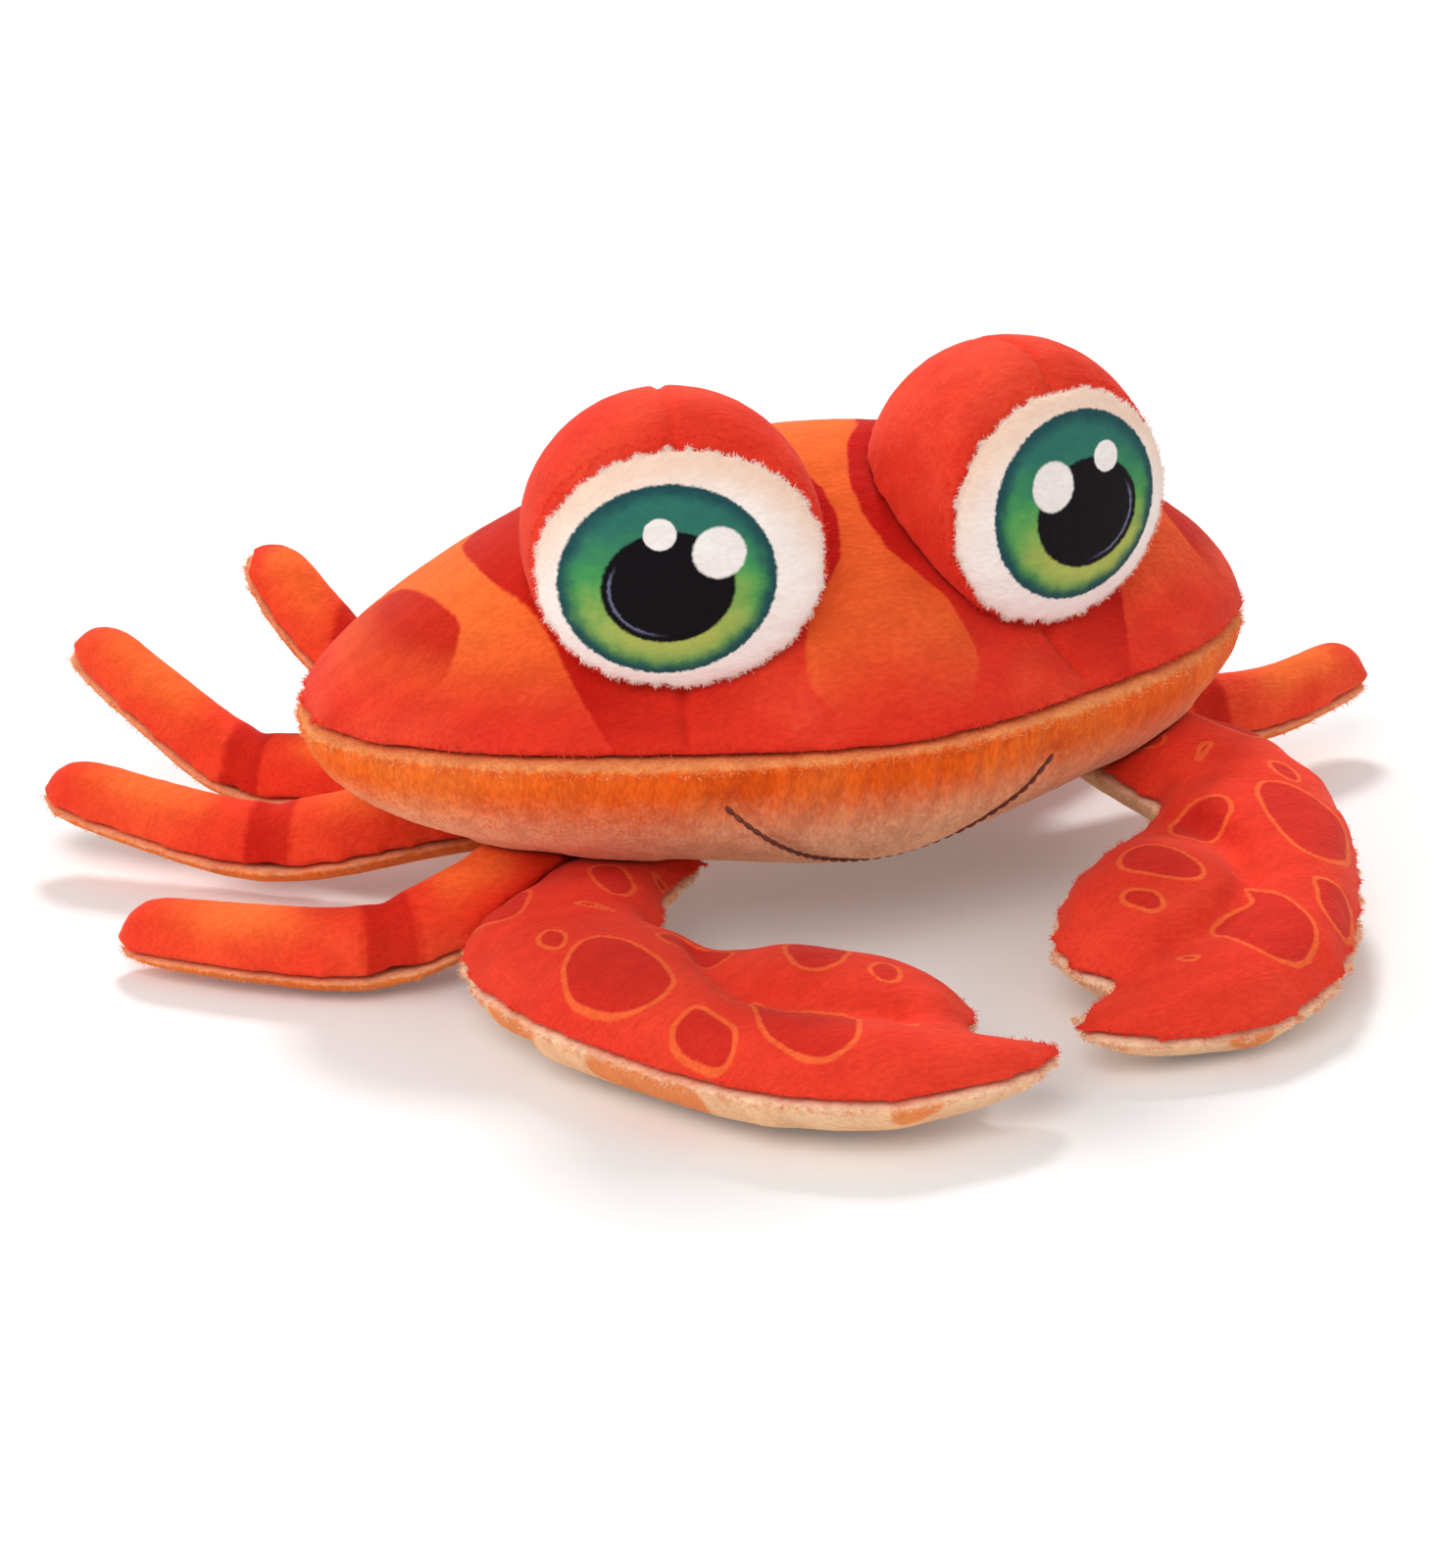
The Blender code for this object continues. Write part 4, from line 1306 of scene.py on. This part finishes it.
    def mark_under(self) -> None:
        """Marks the printed blotches."""
        under = self.sides[1]
        points = points_of(under.obj)
        uneven = 0.8 * unevenness(points, 7 * MM, 6.0)
        store(under.obj, "blotch", self.nearest(self.flat(points), self.blotches_mm) + uneven)


# Mouth


@dataclass
class Mouth:
    """The line of brown thread, as one row of stitches that lie along the belly cloth."""

    body: Body
    thread: float = 1.25 * MM
    stitch: float = 3.0 * MM
    overlap: float = 1.25

    def one_stitch(self) -> bpy.types.Object:
        """One stitch along X: a short round thread whose ends dip into the cloth.

        Returns:
            The stitch, with its middle at the origin.
        """
        bpy.ops.object.select_all(action="DESELECT")
        bpy.ops.mesh.primitive_cylinder_add(
            vertices=8, radius=self.thread / 2, depth=self.stitch * self.overlap, rotation=(0, math.pi / 2, 0)
        )
        stitch = bpy.context.object
        bpy.ops.object.transform_apply(location=True, rotation=True, scale=True)
        bpy.ops.object.mode_set(mode="EDIT")
        for share in (-0.3, 0.3, 0.0):
            bpy.ops.mesh.select_all(action="SELECT")
            bpy.ops.mesh.bisect(plane_co=(self.stitch * share, 0, 0), plane_no=(1, 0, 0))
        bpy.ops.object.mode_set(mode="OBJECT")
        points = points_of(stitch)
        share = np.clip(np.abs(points[:, 0]) / (self.stitch * self.overlap / 2), 0, 1)
        slim = np.sqrt(np.maximum(0.05, 1 - share**2))
        points[:, 1] *= slim
        points[:, 2] = points[:, 2] * slim - share**2 * 0.2 * self.thread
        move_points(stitch, points)
        return stitch

    def build(self) -> bpy.types.Object:
        """Copies the stitch along the mouth and joins the row.

        Returns:
            The finished row of stitches.
        """
        line = self.body.on_belly(self.body.mouth_line())
        middle = np.array([*self.body.middle, 45 * MM])
        steps = np.concatenate([[0], np.cumsum(np.linalg.norm(np.diff(line, axis=0), axis=1))])
        count = int(steps[-1] / self.stitch)
        pattern = self.one_stitch()
        shape, rows, faces = points_of(pattern), [], []
        polygons = polygons_of(pattern)
        for i in range(count):
            at = (i + 0.5) * steps[-1] / count
            here, ahead, behind = (
                np.array([np.interp(at + shift, steps, line[:, k]) for k in range(3)])
                for shift in (0.0, MM, -MM)
            )
            along = Vector(ahead - behind).normalized()
            out = Vector(here - middle)
            out = (out - along * out.dot(along)).normalized()
            across = out.cross(along)
            turn = np.array([along, across, out])
            faces += [tuple(v + len(rows) * len(shape) for v in p) for p in polygons]
            rows.append(shape @ turn + here + np.array(out) * 0.15 * self.thread)
        obj = new_object("mouth_stitches", np.vstack(rows), faces)
        bpy.data.objects.remove(pattern, do_unlink=True)
        obj.data.polygons.foreach_set("use_smooth", [True] * len(obj.data.polygons))
        obj.data.materials.append(MouthThread().material())
        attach(obj, "root")
        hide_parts("mouth_thread")
        LOG.info("mouth: %d stitches", count)
        return obj


# Pile at the seams


@dataclass(frozen=True)
class PileFibre:
    """Loose ends of a cloth's pile."""

    name: str
    root: Colour
    tip: Colour

    def material(self) -> bpy.types.Material:
        """The fibres as a material, made once for all the seams that show them.

        Returns:
            The finished material.
        """
        if self.name not in CUT_FROM:
            recipe = Recipe(self.name)
            uneven = recipe.between(recipe.grain(2.0 * MM, 2.0), 0.35, 0.65)
            recipe.set(recipe.shader.inputs["Base Color"], recipe.mixed(uneven, self.root, self.tip))
            recipe.fix({"Roughness": 0.9, "Specular IOR Level": 0.1})
            CUT_FROM[self.name] = recipe.material
        return CUT_FROM[self.name]


WHITE_FIBRE = PileFibre("white_pile", (0.9, 0.8, 0.72), (0.95, 0.88, 0.82))
CREAM_FIBRE = PileFibre("cream_pile", (0.88, 0.36, 0.14), (0.95, 0.72, 0.52))
LIP_FIBRE = PileFibre("lip_pile", (0.88, 0.24, 0.05), (0.94, 0.45, 0.2))
ORANGE_FIBRE = PileFibre("orange_pile", (0.86, 0.2, 0.04), (0.92, 0.4, 0.14))
RED_FIBRE = PileFibre("red_pile", (0.74, 0.035, 0.018), (0.86, 0.085, 0.045))


@dataclass
class SeamPile:
    """Pile that sticks out along a seam: separate tapered fibres with their roots in the cloth."""

    side: StuffedSide
    fibre: PileFibre
    count: int
    length: float = 1.5 * MM
    thickness: float = 0.11 * MM
    reach: float = 1.5 * MM
    searched_mm: float = 5.0
    open_below: float = 0.45
    fewest: int = 60
    rooted: float = 0.5 * MM
    scatter: float = 0.4 * MM
    spread: float = 0.45
    seed: int = 11

    def places(self) -> tuple[np.ndarray, np.ndarray]:
        """Points of the cloth next to its seam that can be seen, with their directions outwards.

        Returns:
            The points and the directions, one a row each.
        """
        points, outwards = points_of(self.side.obj), normals_of(self.side.obj)
        gaps = np.empty(len(points))
        self.side.obj.data.attributes["seam"].data.foreach_get("value", gaps)
        points, outwards = points[gaps < self.searched_mm], outwards[gaps < self.searched_mm]
        partner = self.side.partner()
        found = [partner.find_nearest(Vector(p)) for p in points]
        towards = np.array([tuple(f[0]) for f in found]) - points
        away = np.linalg.norm(towards, axis=1)
        facing = np.einsum("ij,ij->i", towards, outwards) / np.maximum(away, 1e-9)
        open_side = facing < self.open_below
        closest = np.sort(away[open_side])[: self.fewest].max()
        near = open_side & (away < max(self.reach, closest + 1.0 * MM))
        return points[near], outwards[near]

    def build(self) -> bpy.types.Object:
        """Sets the fibres in the cloth.

        Returns:
            The object with all fibres of this seam.
        """
        draw = np.random.default_rng(self.seed)
        points, outwards = self.places()
        chosen = draw.integers(0, len(points), self.count)
        along = outwards[chosen] + draw.normal(0, self.spread, (self.count, 3))
        along /= np.linalg.norm(along, axis=1)[:, None]
        across = np.cross(along, draw.normal(0, 1, (self.count, 3)))
        across /= np.linalg.norm(across, axis=1)[:, None]
        beside = np.cross(along, across)
        root = points[chosen] + draw.normal(0, self.scatter, (self.count, 3)) - along * self.rooted
        long = self.rooted + self.length * draw.uniform(0.4, 1.0, self.count)
        corners = []
        for turn in (0.0, 2 * math.pi / 3, 4 * math.pi / 3):
            corners.append(root + self.thickness * (math.cos(turn) * across + math.sin(turn) * beside))
        corners.append(root + along * long[:, None])
        rows = np.stack(corners, axis=1).reshape(-1, 3)
        one_fibre = ((0, 1, 3), (1, 2, 3), (2, 0, 3), (0, 2, 1))
        faces = [tuple(4 * i + k for k in face) for i in range(self.count) for face in one_fibre]
        obj = new_object(f"{self.side.node}_pile", rows, faces)
        obj.data.materials.append(self.fibre.material())
        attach(obj, "root")
        LOG.info("%s: %d fibres", obj.name, self.count)
        return obj


# Studio


@dataclass
class Studio:
    """Camera, lamps and the pale floor."""

    aim_mm: Place = (-15.803, 19.087, 28.680)
    yaw: float = math.radians(-24)
    pitch: float = math.radians(21)
    distance: float = 1.0
    lens: float = 93.75
    middle: Point = (0.0, 0.0)
    key: float = 13.0
    fill: float = 3.2
    side: float = 6.0
    back: float = 20.0
    sky: float = 0.45
    floor_glow: float = 0.1

    def camera(self) -> None:
        """Adds the camera at the photograph's viewing angle."""
        level = math.cos(self.pitch)
        towards = Vector((math.sin(self.yaw) * level, -math.cos(self.yaw) * level, math.sin(self.pitch)))
        aim = Vector(self.aim_mm) * MM + Vector((*self.middle, 0.0))
        turn = towards.to_track_quat("Z", "Y").to_euler()
        bpy.ops.object.camera_add(location=aim + towards * self.distance, rotation=turn)
        camera = bpy.context.object
        camera.name = "photo_camera"
        camera.data.lens = self.lens
        camera.data.sensor_width = 36.0
        camera.data.sensor_fit = "AUTO"
        camera.data.clip_start = 0.01
        bpy.context.scene.camera = camera

    def lamp(self, name: str, place: Place, size: float, power: float, tint: Colour) -> None:
        """Adds a square soft lamp that faces the crab.

        Args:
            name: The lamp's name.
            place: Where it stands.
            size: The length of its sides.
            power: Its power in watts.
            tint: Its colour.
        """
        away = Vector(place) - Vector((0, 0, 0.06))
        turn = away.to_track_quat("Z", "Y").to_euler()
        bpy.ops.object.light_add(type="AREA", location=place, rotation=turn)
        lamp = bpy.context.object
        lamp.name = name
        lamp.data.shape = "SQUARE"
        lamp.data.size = size
        lamp.data.energy = power
        lamp.data.color = tint

    def floor(self) -> None:
        """Adds the pale floor, which keeps the crab's shadow and is white to the camera."""
        bpy.ops.mesh.primitive_plane_add(size=8.0, location=(0, 0, 0))
        floor = bpy.context.object
        floor.name = "floor"
        recipe = Recipe("white_floor")
        recipe.fix({"Base Color": (0.9, 0.9, 0.9), "Roughness": 0.9, "Specular IOR Level": 0.0})
        glow = recipe.nodes.new("ShaderNodeEmission")
        glow.inputs["Strength"].default_value = 1.0
        rays = recipe.nodes.new("ShaderNodeLightPath")
        blend = recipe.nodes.new("ShaderNodeMixShader")
        share = recipe.times(rays.outputs["Is Camera Ray"], self.floor_glow)
        recipe.set(blend.inputs[0], share)
        recipe.set(blend.inputs[1], recipe.shader.outputs[0])
        recipe.set(blend.inputs[2], glow.outputs[0])
        output = recipe.nodes["Material Output"]
        recipe.set(output.inputs["Surface"], blend.outputs[0])
        floor.data.materials.append(recipe.material)

    def surroundings(self) -> None:
        """Adds an even pale light all round, which the camera sees as white."""
        world = bpy.data.worlds.new("studio")
        bpy.context.scene.world = world
        world.use_nodes = True
        nodes, links = world.node_tree.nodes, world.node_tree.links
        rays = nodes.new("ShaderNodeLightPath")
        seen = nodes.new("ShaderNodeMath")
        seen.operation = "MAXIMUM"
        links.new(rays.outputs["Is Camera Ray"], seen.inputs[0])
        links.new(rays.outputs["Is Glossy Ray"], seen.inputs[1])
        strength = nodes.new("ShaderNodeMapRange")
        links.new(seen.outputs[0], strength.inputs["Value"])
        strength.inputs["To Min"].default_value = self.sky
        strength.inputs["To Max"].default_value = 1.0
        background = nodes["Background"]
        background.inputs["Color"].default_value = (1.0, 1.0, 1.0, 1.0)
        links.new(strength.outputs[0], background.inputs["Strength"])

    def build(self) -> None:
        """Sets up the whole studio."""
        self.camera()
        self.lamp("key_lamp", (-0.9, -1.0, 1.3), 1.0, self.key, (1.0, 0.98, 0.95))
        self.lamp("fill_lamp", (1.1, -0.9, 0.9), 1.2, self.fill, (0.97, 0.98, 1.0))
        self.lamp("side_lamp", (-1.5, 0.3, 0.8), 0.8, self.side, (1.0, 0.98, 0.95))
        self.lamp("back_lamp", (0.35, 1.1, 1.5), 0.4, self.back, (1.0, 1.0, 1.0))
        self.floor()
        self.surroundings()
        bpy.context.scene.view_settings.view_transform = "Standard"


@dataclass
class Crab:
    """The whole crab, from its parts in the order in which they are made."""

    # Roots and paths of the legs as in the source of the solids, and where each knee is
    legs_mm: dict[Side, tuple[tuple[Point, Path, float], ...]] = field(
        default_factory=lambda: {
            Side.RIGHT: (
                ((-50, 9), ((-24, -7, -3), (-59, -13, -13), (-84, -1, -14), (-114, 26, -14)), 62.0),
                ((-52, 32), ((-27, 6, -1), (-63, 25, -10), (-85, 47, -8), (-110, 74, -2)), 70.0),
                ((-52, 55), ((-29, 18, -7), (-56, 46, -12), (-72, 69, 0), (-88, 95, 16)), 72.0),
                ((-34, 72), ((-24, 15, 0), (-46, 27, 8), (-58, 39, 23), (-65, 51, 40)), 52.0),
            ),
            Side.LEFT: (
                ((58, 28), ((26, 1, 1), (62, 0, -2), (90, 4, -4), (128, 18, -1)), 66.0),
                ((50, 50), ((28, 6, -1), (60, 22, -8), (80, 42, -6), (98, 68, 0)), 68.0),
                ((46, 70), ((27, 14, -2), (54, 34, -4), (66, 56, 7), (80, 82, 22)), 66.0),
                ((26, 84), ((22, 12, 0), (36, 22, 8), (44, 32, 24), (52, 44, 40)), 44.0),
            ),
        }
    )
    eyes_mm: dict[Side, dict[str, Spot]] = field(
        default_factory=lambda: {
            Side.RIGHT: {
                "iris": (-3.6, -1.5, 24.8, 21.8),
                "pupil": (-3.6, -2.9, 15.2, 12.8),
                "large_light": (8.0, 4.6, 6.2, 5.9),
                "small_light": (-5.4, 9.3, 3.8, 3.6),
            },
            Side.LEFT: {
                "iris": (-1.3, 0.8, 25.6, 22.2),
                "pupil": (-3.7, -1.2, 16.2, 12.9),
                "large_light": (7.3, 6.8, 6.2, 6.0),
                "small_light": (-10.0, 11.0, 4.0, 3.7),
            },
        }
    )

    def build(self) -> None:
        """Cuts out every piece, fills them together, and finishes each."""
        body = Body()
        groups = [body]
        for side in Side:
            groups.append(Eye(side, self.eyes_mm[side]))
            groups.append(Claw(side, body.middle))
            for number, (root, path, knee) in enumerate(self.legs_mm[side], 1):
                groups.append(Leg(side, number, root, path, knee, body.middle))
        pieces = [piece for group in groups for piece in group.sides]
        surfaces = {}
        for name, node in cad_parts.items():
            surfaces[name] = (points_of(node), polygons_of(node))
        for piece in pieces:
            others, faces, count = [], [], 0
            for name, (points, polygons) in surfaces.items():
                if name != piece.node:
                    faces += [tuple(v + count for v in p) for p in polygons]
                    others.append(points)
                    count += len(points)
            piece.cut_out()
            piece.hold(BVHTree.FromPolygons(np.vstack(others).tolist(), faces))
        for piece in pieces:
            piece.pack()
        for number in range(1, FILLING.frames + 1):
            bpy.context.scene.frame_set(number)
        for piece in pieces:
            piece.settle()
        bpy.context.scene.frame_set(1)
        for piece in pieces:
            piece.complete()
        for group in groups:
            for pile in group.piles():
                pile.build()
        Mouth(body).build()
        Studio(middle=body.middle).build()


def main() -> None:
    """Builds the crab in its studio."""
    logging.basicConfig(level=logging.INFO, format="%(message)s")
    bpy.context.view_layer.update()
    bpy.ops.object.select_all(action="DESELECT")
    Crab().build()


if __name__ == "__main__":
    main()
